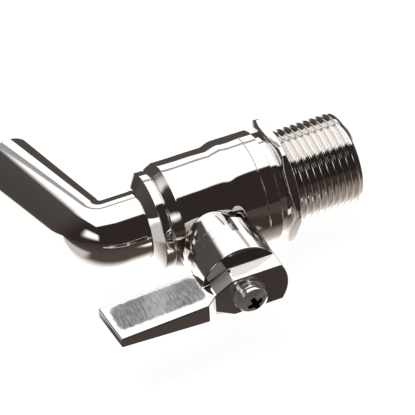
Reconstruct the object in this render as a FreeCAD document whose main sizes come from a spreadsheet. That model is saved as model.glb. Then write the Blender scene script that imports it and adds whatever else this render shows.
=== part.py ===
import FreeCAD, Part
import math
import os
import Sketcher

# Beverage dispenser spigot, in millimetres, as it is fixed to a tank.
# Origin: centre of the hexagon's sealing face, which is drawn against the tank wall.
# +Y runs along the inlet thread into the tank, +Z up the valve stem, the spout goes to -Y and down.

SIZES = [
    ("thread_major", 20.0, "inlet thread M20, outside diameter"),
    ("thread_pitch", 1.5, "inlet thread pitch, sets the lead-in at its end"),
    ("thread_length", 15.5, "thread from the sealing face to its end"),
    ("inlet_bore", 13.0, "bore of the inlet thread"),
    ("hex_flats", 24.0, "hexagon across its flats"),
    ("corner_left", 1.3, "what the turned corners stand out beyond the flats"),
    ("hex_thickness", 2.4, "hexagon along the thread"),
    ("hex_bevel", 0.35, "bevel of the turned corners"),
    ("hex_clock", 5.0, "degrees from +Z to the hexagon's corner"),
    ("neck_step", 1.2, "how far the waist lies below the hexagon's flats"),
    ("neck_length", 1.9, "waist along the thread"),
    ("collar_length", 2.95, "round collar against the valve body"),
    ("body_wall", 3.2, "valve body's wall round the ball chamber"),
    ("body_step", 0.6, "how far the body's larger radius lies beyond the smaller one"),
    ("large_length", 4.4, "cylinder of the larger diameter"),
    ("sweep_length", 3.2, "soft step from the larger to the smaller diameter"),
    ("outlet_wall", 0.95, "wall between the outlet seat and the spout's socket"),
    ("shoulder_length", 2.4, "conical shoulder at the outlet"),
    ("rim_step", 0.9, "how far the outlet rim lies below the smaller diameter"),
    ("rim_length", 1.9, "rim along the body"),
    ("rim_groove", 0.3, "depth of the groove between shoulder and rim"),
    ("nose_length", 1.8, "conical face from the rim to the spout"),
    ("nose_land", 0.6, "conical face's edge outside the spout tube"),
    ("edge_break", 0.2, "small bevel on turned edges"),
    ("spigot_wall", 1.2, "how far the connector's spigot lies beyond the ball chamber"),
    ("fit_gap", 0.05, "radial gap of turned and screwed joints"),
    ("stem_run", 12.55, "stem axis behind the connector's collar"),
    ("ball_diameter", 15.0, "ball"),
    ("flow_bore", 9.2, "bore of the ball, the seats and the outlet"),
    ("chamber_gap", 0.7, "radial gap between ball and chamber wall"),
    ("seat_cover", 0.4, "how far the ball reaches past each seat's back face"),
    ("seat_width", 3.2, "seat along the flow"),
    ("seat_gap", 0.05, "running gap between ball and seats"),
    ("seal_section", 1.5, "body seal's section diameter"),
    ("boss_wall", 2.55, "stem boss's wall round the stem's bore"),
    ("boss_over", 1.0, "boss above the upper stem groove"),
    ("boss_fillet", 0.9, "fillet between stem boss and body"),
    ("lug_step", 1.6, "how far the travel stop reaches beyond the boss"),
    ("tab_angle", 75.0, "degrees from the inlet to the skirt's open edge"),
    ("tab_span", 180.0, "degrees that the handle's skirt covers"),
    ("travel", 90.0, "degrees from open to closed"),
    ("stop_slack", 1.0, "degrees between skirt and stop at each limit"),
    ("stem_diameter", 7.0, "stem in the boss"),
    ("stem_square", 4.9, "stem's square across its flats"),
    ("shaft_gap", 0.05, "running gap of the stem in the boss"),
    ("flange_diameter", 9.2, "stem's inner flange"),
    ("flange_thickness", 1.5, "stem's inner flange"),
    ("thrust_thickness", 0.95, "thrust washer"),
    ("ring_floor", 4.9, "diameter of the stem's seal grooves"),
    ("ring_groove", 1.4, "width of the stem's seal grooves"),
    ("ring_land", 0.45, "boss between the thrust washer and the lower stem groove"),
    ("ring_spacing", 2.3, "between the two stem grooves"),
    ("tang_width", 3.0, "stem's tang across"),
    ("tang_length", 6.0, "stem's tang along the flow"),
    ("tang_depth", 2.0, "how deep the tang reaches into the ball"),
    ("slot_gap", 0.05, "gap round the tang in the ball's slot"),
    ("skirt_gap", 0.35, "radial gap between the boss and the handle's skirt"),
    ("band_step", 0.6, "how far the hub stands out beyond the band at its foot"),
    ("hub_gap", 0.3, "between the boss and the hub"),
    ("band_length", 2.9, "stepped-in band along the stem"),
    ("hub_length", 6.1, "full round of the hub along the stem"),
    ("front_length", 3.6, "flatted front of the hub along the stem"),
    ("tab_drop", 1.3, "skirt below the band"),
    ("tab_wall", 2.3, "skirt's wall"),
    ("front_width", 9.5, "flatted front across its flats"),
    ("neck_start", 2.95, "where the front narrows, from the stem axis"),
    ("neck_end", 7.1, "where the front reaches the paddle's thickness"),
    ("paddle_root", 4.45, "paddle's thickness at its root"),
    ("paddle_tip", 2.2, "paddle's thickness at its tip"),
    ("paddle_length", 28.0, "paddle's front tip from the stem axis"),
    ("tip_slant", 0.9, "how much further the paddle's back tip reaches"),
    ("root_front", 1.9, "paddle's front edge above the hub's front, at the root"),
    ("tip_front", 1.85, "the same at the tip"),
    ("root_back", 7.7, "paddle's back edge below the hub's front, at the root"),
    ("tip_back", 8.35, "the same at the tip"),
    ("ramp_length", 2.3, "slope from the hub's front to the paddle's front edge"),
    ("front_wall", 3.8, "hub's wall under the screw"),
    ("clamp_gap", 0.2, "between the stem's end and that wall"),
    ("handle_edge", 0.25, "rounding of the handle's edges"),
    ("screw_diameter", 3.0, "handle screw M3"),
    ("screw_length", 10.0, "handle screw's shank"),
    ("screw_head", 6.1, "screw head's diameter"),
    ("head_side", 1.1, "screw head's straight side"),
    ("head_height", 2.2, "screw head"),
    ("cross_width", 0.95, "wing of the cross recess"),
    ("cross_length", 3.5, "cross recess from wing to wing"),
    ("cross_depth", 1.5, "cross recess"),
    ("tap_depth", 7.0, "tapped hole in the stem"),
    ("washer_hole", 3.2, "hole of the washers and the hub's wall"),
    ("flat_diameter", 7.0, "flat washer"),
    ("flat_thickness", 0.5, "flat washer"),
    ("lock_diameter", 5.9, "lock washer"),
    ("lock_thickness", 0.8, "lock washer"),
    ("lock_slit", 0.5, "lock washer's slit"),
    ("tube_diameter", 14.5, "spout tube, outside"),
    ("tube_wall", 1.0, "spout tube's wall"),
    ("tube_socket", 3.6, "spout tube inside the valve body"),
    ("spout_run", 10.12, "spout's bend point beyond the valve body's end"),
    ("bend_radius", 7.55, "spout's bend at its centre line"),
    ("bend_angle", 73.65, "degrees that the spout turns down"),
    ("spout_length", 30.6, "bend point to the spout's end"),
    ("spout_edge", 0.3, "rounding of the spout's end"),
]

doc = FreeCAD.newDocument("Spigot")
sheet = doc.addObject("Spreadsheet::Sheet", "Sizes")


class Dim:
    """A length that carries its number and the sheet expression it comes from."""

    def __init__(self, value, text):
        self.value = float(value)
        self.text = text

    def join(self, sign, other, result, swap=False):
        text = other.text if isinstance(other, Dim) else repr(other)
        first, last = (text, self.text) if swap else (self.text, text)
        return Dim(result, "(" + first + " " + sign + " " + last + ")")

    def __add__(self, other):
        return self.join("+", other, self.value + number(other))

    def __radd__(self, other):
        return self.join("+", other, number(other) + self.value, True)

    def __sub__(self, other):
        return self.join("-", other, self.value - number(other))

    def __rsub__(self, other):
        return self.join("-", other, number(other) - self.value, True)

    def __mul__(self, other):
        return self.join("*", other, self.value * number(other))

    def __rmul__(self, other):
        return self.join("*", other, number(other) * self.value, True)

    def __truediv__(self, other):
        return self.join("/", other, self.value / number(other))

    def __neg__(self):
        return 0 - self


def number(item):
    """The plain number of a Dim or of a number."""
    return item.value if isinstance(item, Dim) else float(item)


def root(item):
    return Dim(math.sqrt(item.value), "sqrt(" + item.text + ")")


def sine(item):
    return Dim(math.sin(math.radians(item.value)), "sin(" + item.text + ")")


def cosine(item):
    return Dim(math.cos(math.radians(item.value)), "cos(" + item.text + ")")


def tangent(item):
    return Dim(math.tan(math.radians(item.value)), "tan(" + item.text + ")")


def fill_sheet():
    """Write every driving size into the sheet and hand them back by name."""
    sizes = {}
    for row, (alias, value, note) in enumerate(SIZES, start=1):
        sheet.set("A" + str(row), note)
        sheet.set("B" + str(row), str(value))
        sheet.setAlias("B" + str(row), alias)
        sizes[alias] = Dim(value, "Sizes." + alias)
    doc.recompute()
    return sizes


D = fill_sheet()

# Radii that several pieces share
neck_radius = D["hex_flats"] / 2 - D["neck_step"]
hex_turned = D["hex_flats"] / 2 + D["corner_left"]
ball_radius = D["ball_diameter"] / 2
flow_radius = D["flow_bore"] / 2
chamber_radius = ball_radius + D["chamber_gap"]
body_small = chamber_radius + D["body_wall"]
body_large = body_small + D["body_step"]
spigot_radius = chamber_radius + D["spigot_wall"]
seal_middle = spigot_radius + D["seal_section"] / 2 + D["fit_gap"]
seal_pocket = D["seal_section"] + 2 * D["fit_gap"]
stem_radius = D["stem_diameter"] / 2
shaft_bore = stem_radius + D["shaft_gap"]
recess_radius = D["flange_diameter"] / 2 + D["shaft_gap"]
ring_radius = (shaft_bore - D["shaft_gap"] / 2 - D["ring_floor"] / 2) / 2
boss_radius = shaft_bore + D["boss_wall"]
lug_reach = boss_radius + D["lug_step"]
skirt_radius = boss_radius + D["skirt_gap"]
hub_radius = skirt_radius + D["tab_wall"]
band_radius = hub_radius - D["band_step"]

# Stations along the thread, from the sealing face towards the spout
neck_from = D["hex_thickness"]
collar_from = neck_from + D["neck_length"]
joint_station = collar_from + D["collar_length"]
sweep_from = joint_station + D["large_length"]
sweep_to = sweep_from + D["sweep_length"]
stem_station = joint_station + D["stem_run"]
seat_reach = ball_radius - D["seat_cover"]
inlet_seat_back = stem_station - seat_reach
outlet_seat_back = stem_station + seat_reach
socket_floor = outlet_seat_back + D["outlet_wall"]
nose_end = socket_floor + D["tube_socket"]
rim_to = nose_end - D["nose_length"]
rim_from = rim_to - D["rim_length"]
shoulder_from = rim_from - D["shoulder_length"]
bend_station = nose_end + D["spout_run"]

# Heights above the body axis
tang_bottom = ball_radius - D["tang_depth"]
flange_bottom = chamber_radius + D["fit_gap"]
flange_top = flange_bottom + D["flange_thickness"]
recess_top = flange_top + D["fit_gap"] + D["thrust_thickness"]
ring_first = recess_top + D["ring_land"] + D["ring_groove"] / 2
ring_last = ring_first + D["ring_spacing"]
boss_top = ring_last + D["ring_groove"] / 2 + D["boss_over"]
hub_foot = boss_top + D["hub_gap"]
band_top = hub_foot + D["band_length"]
front_foot = band_top + D["hub_length"]
front_face = front_foot + D["front_length"]
wall_under = front_face - D["front_wall"]
stem_end = wall_under - D["clamp_gap"]
flat_top = front_face + D["flat_thickness"]
lock_top = flat_top + D["lock_thickness"]


def new_body(label):
    """An empty body with its node's name."""
    body = doc.addObject("PartDesign::Body", label)
    body.Label = label
    return body


def origin_plane(body, role):
    return [item for item in body.Origin.OriginFeatures if item.Role == role][0]


def new_sketch(body, role, offset=None):
    """A sketch on one of the body's own planes, moved along its normal by an offset."""
    sketch = body.newObject("Sketcher::SketchObject", body.Label + "_sketch")
    sketch.AttachmentSupport = [(origin_plane(body, role), "")]
    sketch.MapMode = "FlatFace"
    if offset is not None:
        sketch.setExpression("AttachmentOffset.Base.z", offset.text)
    doc.recompute()
    return sketch


def bind(sketch, kind, items, dim):
    """Add one dimension to a sketch and tie it to the sheet."""
    index = sketch.addConstraint(Sketcher.Constraint(kind, *items, number(dim)))
    if isinstance(dim, Dim):
        sketch.setExpression("Constraints[" + str(index) + "]", dim.text)


def pin_point(sketch, geometry, place, point):
    """Fix one vertex by its two distances from the sketch's origin."""
    for kind, axis, value in (("DistanceX", "x", point[0]), ("DistanceY", "y", point[1])):
        if number(value) == 0.0 and not isinstance(value, Dim):
            line = -2 if axis == "x" else -1
            sketch.addConstraint(Sketcher.Constraint("PointOnObject", geometry, place, line))
        else:
            bind(sketch, kind, (-1, 1, geometry, place), value)


def outline(sketch, points, arcs=None):
    """A closed outline through points; arcs maps a side's number to (radius, bulge side)."""
    arcs = arcs or {}
    plain = [FreeCAD.Vector(number(x), number(y), 0) for x, y in points]
    count = len(points)
    ids = []
    for side in range(count):
        start, end = plain[side], plain[(side + 1) % count]
        if side in arcs:
            radius, bulge = arcs[side]
            chord = end - start
            normal = FreeCAD.Vector(-chord.y, chord.x, 0).normalize() * bulge
            reach = math.sqrt(max(number(radius) ** 2 - (chord.Length / 2) ** 2, 0.0))
            middle = (start + end) / 2 + normal * (number(radius) - reach)
            ids.append(sketch.addGeometry(Part.Arc(start, middle, end), False))
        else:
            ids.append(sketch.addGeometry(Part.LineSegment(start, end), False))
    ends = [arc_ends(sketch, ids[side], plain[side]) for side in range(count)]
    for side in range(count):
        following = (side + 1) % count
        sketch.addConstraint(Sketcher.Constraint("Coincident", ids[side], ends[side][1],
                                                 ids[following], ends[following][0]))
    for side in range(count):
        pin_point(sketch, ids[side], ends[side][0], points[side])
    for side, (radius, _bulge) in arcs.items():
        bind(sketch, "Radius", (ids[side],), radius)


def arc_ends(sketch, geometry, start):
    """Which vertex of a side is its start: an arc may run the other way."""
    first = sketch.getPoint(geometry, 1)
    return (1, 2) if first.distanceToPoint(start) < 1e-6 else (2, 1)


def circle(sketch, radius, centre=(0, 0)):
    geometry = sketch.addGeometry(Part.Circle(FreeCAD.Vector(number(centre[0]), number(centre[1]), 0),
                                              FreeCAD.Vector(0, 0, 1), number(radius)), False)
    bind(sketch, "Radius", (geometry,), radius)
    pin_point(sketch, geometry, 3, centre)


def turned(body, role, points, arcs=None, cut=False):
    """Turn an outline about the sketch's vertical axis, as solid or as cut."""
    sketch = new_sketch(body, role)
    outline(sketch, points, arcs)
    kind = "PartDesign::Groove" if cut else "PartDesign::Revolution"
    feature = body.newObject(kind, body.Label + ("_bore" if cut else "_turned"))
    feature.Profile = sketch
    feature.ReferenceAxis = (sketch, ["V_Axis"])
    feature.Angle = 360.0
    doc.recompute()
    return feature


def raised(body, sketch, length, reverse=False, both=False):
    """Extrude a sketch into solid."""
    feature = body.newObject("PartDesign::Pad", body.Label + "_pad")
    feature.Profile = sketch
    feature.setExpression("Length", length.text)
    feature.Reversed = reverse
    feature.Midplane = both
    doc.recompute()
    return feature


def sunk(body, sketch, length, reverse=False, both=False):
    """Extrude a sketch into a cut."""
    before = body.Shape.Volume
    feature = body.newObject("PartDesign::Pocket", body.Label + "_pocket")
    feature.Profile = sketch
    feature.setExpression("Length", length.text)
    feature.Reversed = reverse
    feature.Midplane = both
    doc.recompute()
    if not body.Shape.Volume < before:
        raise RuntimeError(feature.Label + " cuts nothing")
    return feature


def edges_where(body, test):
    """Names of the edges of the body's present shape that pass a test."""
    shape = body.Shape
    return ["Edge" + str(index + 1) for index, edge in enumerate(shape.Edges) if test(edge)]


def rounded(body, names, radius):
    base = body.Tip
    feature = body.newObject("PartDesign::Fillet", body.Label + "_fillet")
    feature.Base = (base, names)
    feature.setExpression("Radius", radius.text)
    doc.recompute()
    return feature


def stand_on_stem(body):
    """Move a piece that is drawn about its own Z axis onto the stem axis."""
    body.setExpression("Placement.Base.y", (-stem_station).text)


def rectangle(sketch, low, high):
    outline(sketch, [(low[0], low[1]), (high[0], low[1]), (high[0], high[1]), (low[0], high[1])])


def sector_points(inner, outer, first, last):
    """Corners of a ring sector and the arcs of its two curved sides."""
    points = [(inner * cosine(first), inner * sine(first)), (outer * cosine(first), outer * sine(first)),
              (outer * cosine(last), outer * sine(last)), (inner * cosine(last), inner * sine(last))]
    return points


def sector(sketch, inner, outer, first, last):
    """A ring sector between two angles: two arcs about the origin and two straight ends."""
    points = sector_points(inner, outer, first, last)
    plain = [FreeCAD.Vector(number(x), number(y), 0) for x, y in points]
    halfway = math.radians((number(first) + number(last)) / 2)
    turn = FreeCAD.Vector(math.cos(halfway), math.sin(halfway), 0)
    sides = [Part.LineSegment(plain[0], plain[1]), Part.Arc(plain[1], turn * number(outer), plain[2]),
             Part.LineSegment(plain[2], plain[3]), Part.Arc(plain[3], turn * number(inner), plain[0])]
    ids = [sketch.addGeometry(side, False) for side in sides]
    ends = [arc_ends(sketch, ids[side], plain[side]) for side in range(4)]
    for side in range(4):
        following = (side + 1) % 4
        sketch.addConstraint(Sketcher.Constraint("Coincident", ids[side], ends[side][1],
                                                 ids[following], ends[following][0]))
    for arc in (ids[1], ids[3]):
        sketch.addConstraint(Sketcher.Constraint("Coincident", arc, 3, -1, 1))
    pin_point(sketch, ids[0], ends[0][0], points[0])
    bind(sketch, "Radius", (ids[1],), outer)
    bind(sketch, "DistanceY", (-1, 1, ids[0], ends[0][1]), points[1][1])
    bind(sketch, "DistanceY", (-1, 1, ids[2], ends[2][0]), points[2][1])
    bind(sketch, "DistanceY", (-1, 1, ids[2], ends[2][1]), points[3][1])


def valve_body():
    """Cast and turned body: two diameters with a soft step, stem boss, stop lug, rim and spout socket."""
    body = new_body("valve_body")
    large, small = body_large, body_small
    rim, nose = small - D["rim_step"], D["tube_diameter"] / 2 + D["nose_land"]
    edge = D["edge_break"]
    half_step, half_sweep = (large - small) / 2, D["sweep_length"] / 2
    sweep_radius = (half_step * half_step + half_sweep * half_sweep) / (2 * half_step)
    groove = D["rim_groove"]
    points = [
        (0, -joint_station), (large - edge, -joint_station), (large, -(joint_station + edge)),
        (large, -sweep_from), (large - half_step, -(sweep_from + half_sweep)), (small, -sweep_to),
        (small, -shoulder_from), (rim, -(rim_from - groove)), (rim - groove, -rim_from),
        (rim, -(rim_from + groove)), (rim, -(rim_to - edge)), (rim - edge, -rim_to), (nose, -nose_end),
        (0, -nose_end),
    ]
    turned(body, "XY_Plane", points, {3: (sweep_radius, 1), 4: (sweep_radius, -1)})
    add_stem_boss(body)
    bore_valve_body(body)
    return body


def add_stem_boss(body):
    """The boss that guides the stem, filleted to the body, with the stop that ends the handle's travel."""
    sketch = new_sketch(body, "XY_Plane")
    circle(sketch, boss_radius, (0, -stem_station))
    raised(body, sketch, boss_top)
    wall = number(boss_radius)
    station = number(stem_station)

    def meets_body(edge):
        points = edge.discretize(9)
        reach = [math.hypot(point.x, point.y + station) for point in points]
        return max(abs(value - wall) for value in reach) < 1e-3 and \
            points[0].z > 1.0 and points[0].z < number(boss_top) - 1.0 and edge.Length > wall
    rounded(body, edges_where(body, meets_body), D["boss_fillet"])
    rim_names = edges_where(body, lambda edge: is_ring(edge, wall, number(boss_top)))
    rounded(body, rim_names, D["edge_break"])
    add_stop_lug(body)


def is_ring(edge, radius, height):
    """Whether an edge is a circle of this radius at this height."""
    curve = edge.Curve
    return isinstance(curve, Part.Circle) and abs(curve.Radius - radius) < 1e-3 and \
        abs(curve.Center.z - height) < 1e-3


def add_stop_lug(body):
    """A ring sector round the boss; the handle's skirt meets its ends when open and when closed."""
    sketch = body.newObject("Sketcher::SketchObject", "stop_sketch")
    sketch.AttachmentSupport = [(origin_plane(body, "XY_Plane"), "")]
    sketch.MapMode = "FlatFace"
    sketch.setExpression("AttachmentOffset.Base.y", (-stem_station).text)
    doc.recompute()
    first = 90 + D["tab_angle"] + D["travel"] + D["stop_slack"]
    last = 90 + D["tab_angle"] + 360 - D["tab_span"] - D["stop_slack"]
    sector(sketch, stem_radius + 2 * D["shaft_gap"] + D["fit_gap"], lug_reach, first, last)
    raised(body, sketch, boss_top - D["fit_gap"])


def bore_valve_body(body):
    """Connector socket, seal pocket, ball chamber, outlet, spout socket and the stem's bore."""
    socket = spigot_radius + D["fit_gap"]
    tube = D["tube_diameter"] / 2 + D["fit_gap"] / 2
    seal_wall = seal_middle + D["seal_section"] / 2 + D["fit_gap"]
    points = [
        (0, -joint_station), (seal_wall, -joint_station), (seal_wall, -(joint_station + seal_pocket)),
        (socket, -(joint_station + seal_pocket)), (socket, -inlet_seat_back),
        (chamber_radius, -inlet_seat_back), (chamber_radius, -outlet_seat_back),
        (flow_radius, -outlet_seat_back), (flow_radius, -socket_floor), (tube, -socket_floor),
        (tube, -nose_end), (0, -nose_end),
    ]
    turned(body, "XY_Plane", points, cut=True)
    for radius, height in ((shaft_bore, boss_top + 1), (recess_radius, recess_top)):
        sketch = new_sketch(body, "XY_Plane")
        circle(sketch, radius, (0, -stem_station))
        sunk(body, sketch, height, reverse=True)


def thread_outline(major, end):
    """Grooves of the inlet thread, drawn as rings at its pitch, up to the last full turn before its end."""
    pitch = D["thread_pitch"]
    depth = pitch * 5 * math.sqrt(3) / 16
    points = []
    for groove in range(int(number(end) / number(pitch))):
        middle = pitch * (groove + 0.5)
        points += [(major, middle - pitch * 7 / 16), (major - depth, middle - pitch / 8),
                   (major - depth, middle + pitch / 8), (major, middle + pitch * 7 / 16)]
    return points


def inlet_connector():
    """One turned piece: spigot in the body, collar, waist, hexagon and the threaded inlet."""
    body = new_body("inlet_connector")
    collar, neck = body_large, neck_radius
    major = D["thread_major"] / 2
    lead = D["thread_pitch"] * 0.65
    edge = D["edge_break"]
    inlet = D["inlet_bore"] / 2
    bore_step = joint_station + edge
    points = [
        (flow_radius, -inlet_seat_back), (spigot_radius, -inlet_seat_back), (spigot_radius, -joint_station),
        (collar - edge, -joint_station), (collar, -(joint_station - edge)), (collar, -(collar_from + edge)),
        (collar - edge, -collar_from), (neck, -(collar_from - edge)), (neck, -neck_from),
        (neck, 0), (major, 0),
    ]
    points += thread_outline(major, D["thread_length"] - lead)
    points += [
        (major, D["thread_length"] - lead), (major - lead, D["thread_length"]), (inlet, D["thread_length"]),
        (inlet, -(bore_step - edge)), (flow_radius, -(bore_step + 1)),
    ]
    turned(body, "XY_Plane", points)
    add_hexagon(body)
    return body


def add_hexagon(body):
    """Hexagon against the tank wall, its corners turned down and bevelled."""
    sketch = new_sketch(body, "XZ_Plane")
    corner = D["hex_flats"] / math.sqrt(3)
    points = []
    for turn in range(6):
        angle = D["hex_clock"] + 60 * turn
        points.append((-(corner * sine(angle)), corner * cosine(angle)))
    outline(sketch, points)
    inner = sketch.addGeometry(Part.Circle(FreeCAD.Vector(0, 0, 0), FreeCAD.Vector(0, 0, 1),
                                           number(neck_radius)), False)
    bind(sketch, "Radius", (inner,), neck_radius)
    sketch.addConstraint(Sketcher.Constraint("Coincident", inner, 3, -1, 1))
    raised(body, sketch, D["hex_thickness"])
    turned_to, bevel = hex_turned, D["hex_bevel"]
    beyond = hex_turned + 2
    points = [
        (turned_to - 2 * bevel, 0), (turned_to, -bevel), (turned_to, -(D["hex_thickness"] - bevel)),
        (turned_to - 2 * bevel, -D["hex_thickness"]), (beyond, -D["hex_thickness"]), (beyond, 0),
    ]
    turned(body, "XY_Plane", points, cut=True)


def body_o_ring():
    """Seal between connector and valve body."""
    ring = doc.addObject("Part::Torus", "body_o_ring")
    ring.Label = "body_o_ring"
    ring.setExpression("Radius1", seal_middle.text)
    ring.setExpression("Radius2", (D["seal_section"] / 2).text)
    ring.setExpression("Placement.Base.y", (-(joint_station + seal_pocket / 2)).text)
    ring.Placement.Rotation = FreeCAD.Rotation(FreeCAD.Vector(1, 0, 0), 90)
    return ring


def seat(label, side):
    """Ring of soft plastic with a hollow that follows the ball; side is +1 at the inlet, -1 at the outlet."""
    body = new_body(label)
    wall = chamber_radius - D["fit_gap"]
    hollow = ball_radius + D["seat_gap"]
    front = seat_reach - D["seat_width"]
    reach = root(hollow * hollow - front * front)
    inner = root(hollow * hollow - flow_radius * flow_radius)
    points = [(reach, front * side), (wall, front * side), (wall, seat_reach * side),
              (flow_radius, seat_reach * side), (flow_radius, inner * side)]
    turned(body, "XY_Plane", points, {4: (hollow, side)})
    stand_on_stem(body)
    return body


def ball():
    """Ball with its flow bore and the slot that takes the stem's tang."""
    sphere = doc.addObject("Part::Sphere", "ball_blank")
    sphere.setExpression("Radius", ball_radius.text)
    bore = doc.addObject("Part::Cylinder", "ball_bore")
    bore.setExpression("Radius", flow_radius.text)
    bore.setExpression("Height", (D["ball_diameter"] + 2).text)
    bore.Placement.Rotation = FreeCAD.Rotation(FreeCAD.Vector(1, 0, 0), 90)
    bore.setExpression("Placement.Base.y", (ball_radius + 1).text)
    slot = doc.addObject("Part::Box", "ball_slot")
    slot.setExpression("Length", (D["tang_width"] + 2 * D["slot_gap"]).text)
    slot.setExpression("Width", D["ball_diameter"].text)
    slot.setExpression("Height", ball_radius.text)
    slot.setExpression("Placement.Base.x", (-(D["tang_width"] / 2 + D["slot_gap"])).text)
    slot.setExpression("Placement.Base.y", (-ball_radius).text)
    slot.setExpression("Placement.Base.z", (tang_bottom - D["slot_gap"]).text)
    tools = doc.addObject("Part::MultiFuse", "ball_tools")
    tools.Shapes = [bore, slot]
    cut = doc.addObject("Part::Cut", "ball")
    cut.Label = "ball"
    cut.Base = sphere
    cut.Tool = tools
    stand_on_stem(cut)
    return cut


def stem():
    """Stem: tang in the ball, inner flange, shaft with two seal grooves, square for the handle."""
    body = new_body("stem")
    flange = D["flange_diameter"] / 2
    floor, half = D["ring_floor"] / 2, D["ring_groove"] / 2
    points = [(0, flange_bottom), (flange, flange_bottom), (flange, flange_top),
              (stem_radius, flange_top)]
    for middle in (ring_first, ring_last):
        points += [(stem_radius, middle - half), (floor, middle - half), (floor, middle + half),
                   (stem_radius, middle + half)]
    points += [(stem_radius, boss_top), (0, boss_top)]
    turned(body, "XZ_Plane", points)
    tang = new_sketch(body, "XY_Plane", tang_bottom)
    half_width, half_length = D["tang_width"] / 2, D["tang_length"] / 2
    rectangle(tang, (-half_width, -half_length), (half_width, half_length))
    raised(body, tang, flange_bottom - tang_bottom)
    square = new_sketch(body, "XY_Plane", boss_top)
    half_square = D["stem_square"] / 2
    rectangle(square, (-half_square, -half_square), (half_square, half_square))
    raised(body, square, stem_end - boss_top)
    hole = new_sketch(body, "XY_Plane", stem_end)
    circle(hole, D["screw_diameter"] / 2 + D["fit_gap"] / 2)
    sunk(body, hole, D["tap_depth"])
    stand_on_stem(body)
    return body


def stem_o_ring(label, height):
    """One of the two rings that seal the stem in its bore."""
    ring = doc.addObject("Part::Torus", label)
    ring.Label = label
    ring.setExpression("Radius1", (D["ring_floor"] / 2 + ring_radius).text)
    ring.setExpression("Radius2", ring_radius.text)
    ring.setExpression("Placement.Base.z", height.text)
    stand_on_stem(ring)
    return ring


def ring_piece(label, inner, outer, foot, thickness):
    """A plain washer about the stem axis."""
    body = new_body(label)
    sketch = new_sketch(body, "XY_Plane", foot)
    circle(sketch, outer)
    circle(sketch, inner)
    raised(body, sketch, thickness)
    stand_on_stem(body)
    return body


def lock_washer():
    """Split washer under the screw head."""
    body = ring_piece("lock_washer", D["washer_hole"] / 2, D["lock_diameter"] / 2, flat_top, D["lock_thickness"])
    sketch = new_sketch(body, "XY_Plane", lock_top)
    half = D["lock_slit"] / 2
    rectangle(sketch, (-half, 0), (half, D["lock_diameter"]))
    sunk(body, sketch, D["lock_thickness"])
    return body


def handle_screw():
    """Pan-head screw with a cross recess; its thread is a plain shank here."""
    body = new_body("handle_screw")
    shank, head = D["screw_diameter"] / 2, D["screw_head"] / 2
    crown = D["head_height"] - D["head_side"]
    dome = (head * head + crown * crown) / (2 * crown)
    tip = D["edge_break"]
    points = [(0, lock_top - D["screw_length"]), (shank - tip, lock_top - D["screw_length"]),
              (shank, lock_top - D["screw_length"] + tip), (shank, lock_top), (head, lock_top),
              (head, lock_top + D["head_side"]), (0, lock_top + D["head_height"])]
    turned(body, "XZ_Plane", points, {5: (dome, -1)})
    wing, reach = D["cross_width"] / 2, D["cross_length"] / 2
    cross = [(wing, wing), (wing, reach), (-wing, reach), (-wing, wing), (-reach, wing), (-reach, -wing),
             (-wing, -wing), (-wing, -reach), (wing, -reach), (wing, -wing), (reach, -wing), (reach, wing)]
    sketch = new_sketch(body, "XY_Plane", lock_top + D["head_height"])
    outline(sketch, cross)
    pocket = sunk(body, sketch, D["cross_depth"])
    pocket.TaperAngle = -14.0
    doc.recompute()
    stand_on_stem(body)
    return body


def handle():
    """Lever: round hub with a skirt, flatted front that narrows to a tapering paddle."""
    body = new_body("handle")
    add_hub(body)
    add_front(body)
    add_paddle(body)
    bore_handle(body)
    soften_handle(body)
    stand_on_stem(body)
    return body


def add_hub(body):
    """The hub's full round, its stepped-in band and the skirt that meets the stop."""
    points = [(0, hub_foot), (band_radius, hub_foot), (band_radius, band_top),
              (hub_radius, band_top), (hub_radius, front_foot), (0, front_foot)]
    turned(body, "XZ_Plane", points)
    sketch = new_sketch(body, "XY_Plane", hub_foot - D["tab_drop"])
    first = 90 + D["tab_angle"] - D["tab_span"]
    sector(sketch, skirt_radius, hub_radius, first, 90 + D["tab_angle"])
    raised(body, sketch, D["tab_drop"] + D["band_length"] + D["edge_break"])


def add_front(body):
    """The front between its two flats: round towards the inlet, narrowing towards the paddle."""
    half, root_half = D["front_width"] / 2, D["paddle_root"] / 2
    chord = root(hub_radius * hub_radius - half * half)
    points = [(half, chord), (-half, chord), (-half, -D["neck_start"]), (-root_half, -D["neck_end"]),
              (root_half, -D["neck_end"]), (half, -D["neck_start"])]
    sketch = new_sketch(body, "XY_Plane", front_foot)
    outline(sketch, points, {0: (hub_radius, -1)})
    raised(body, sketch, D["front_length"])


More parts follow.
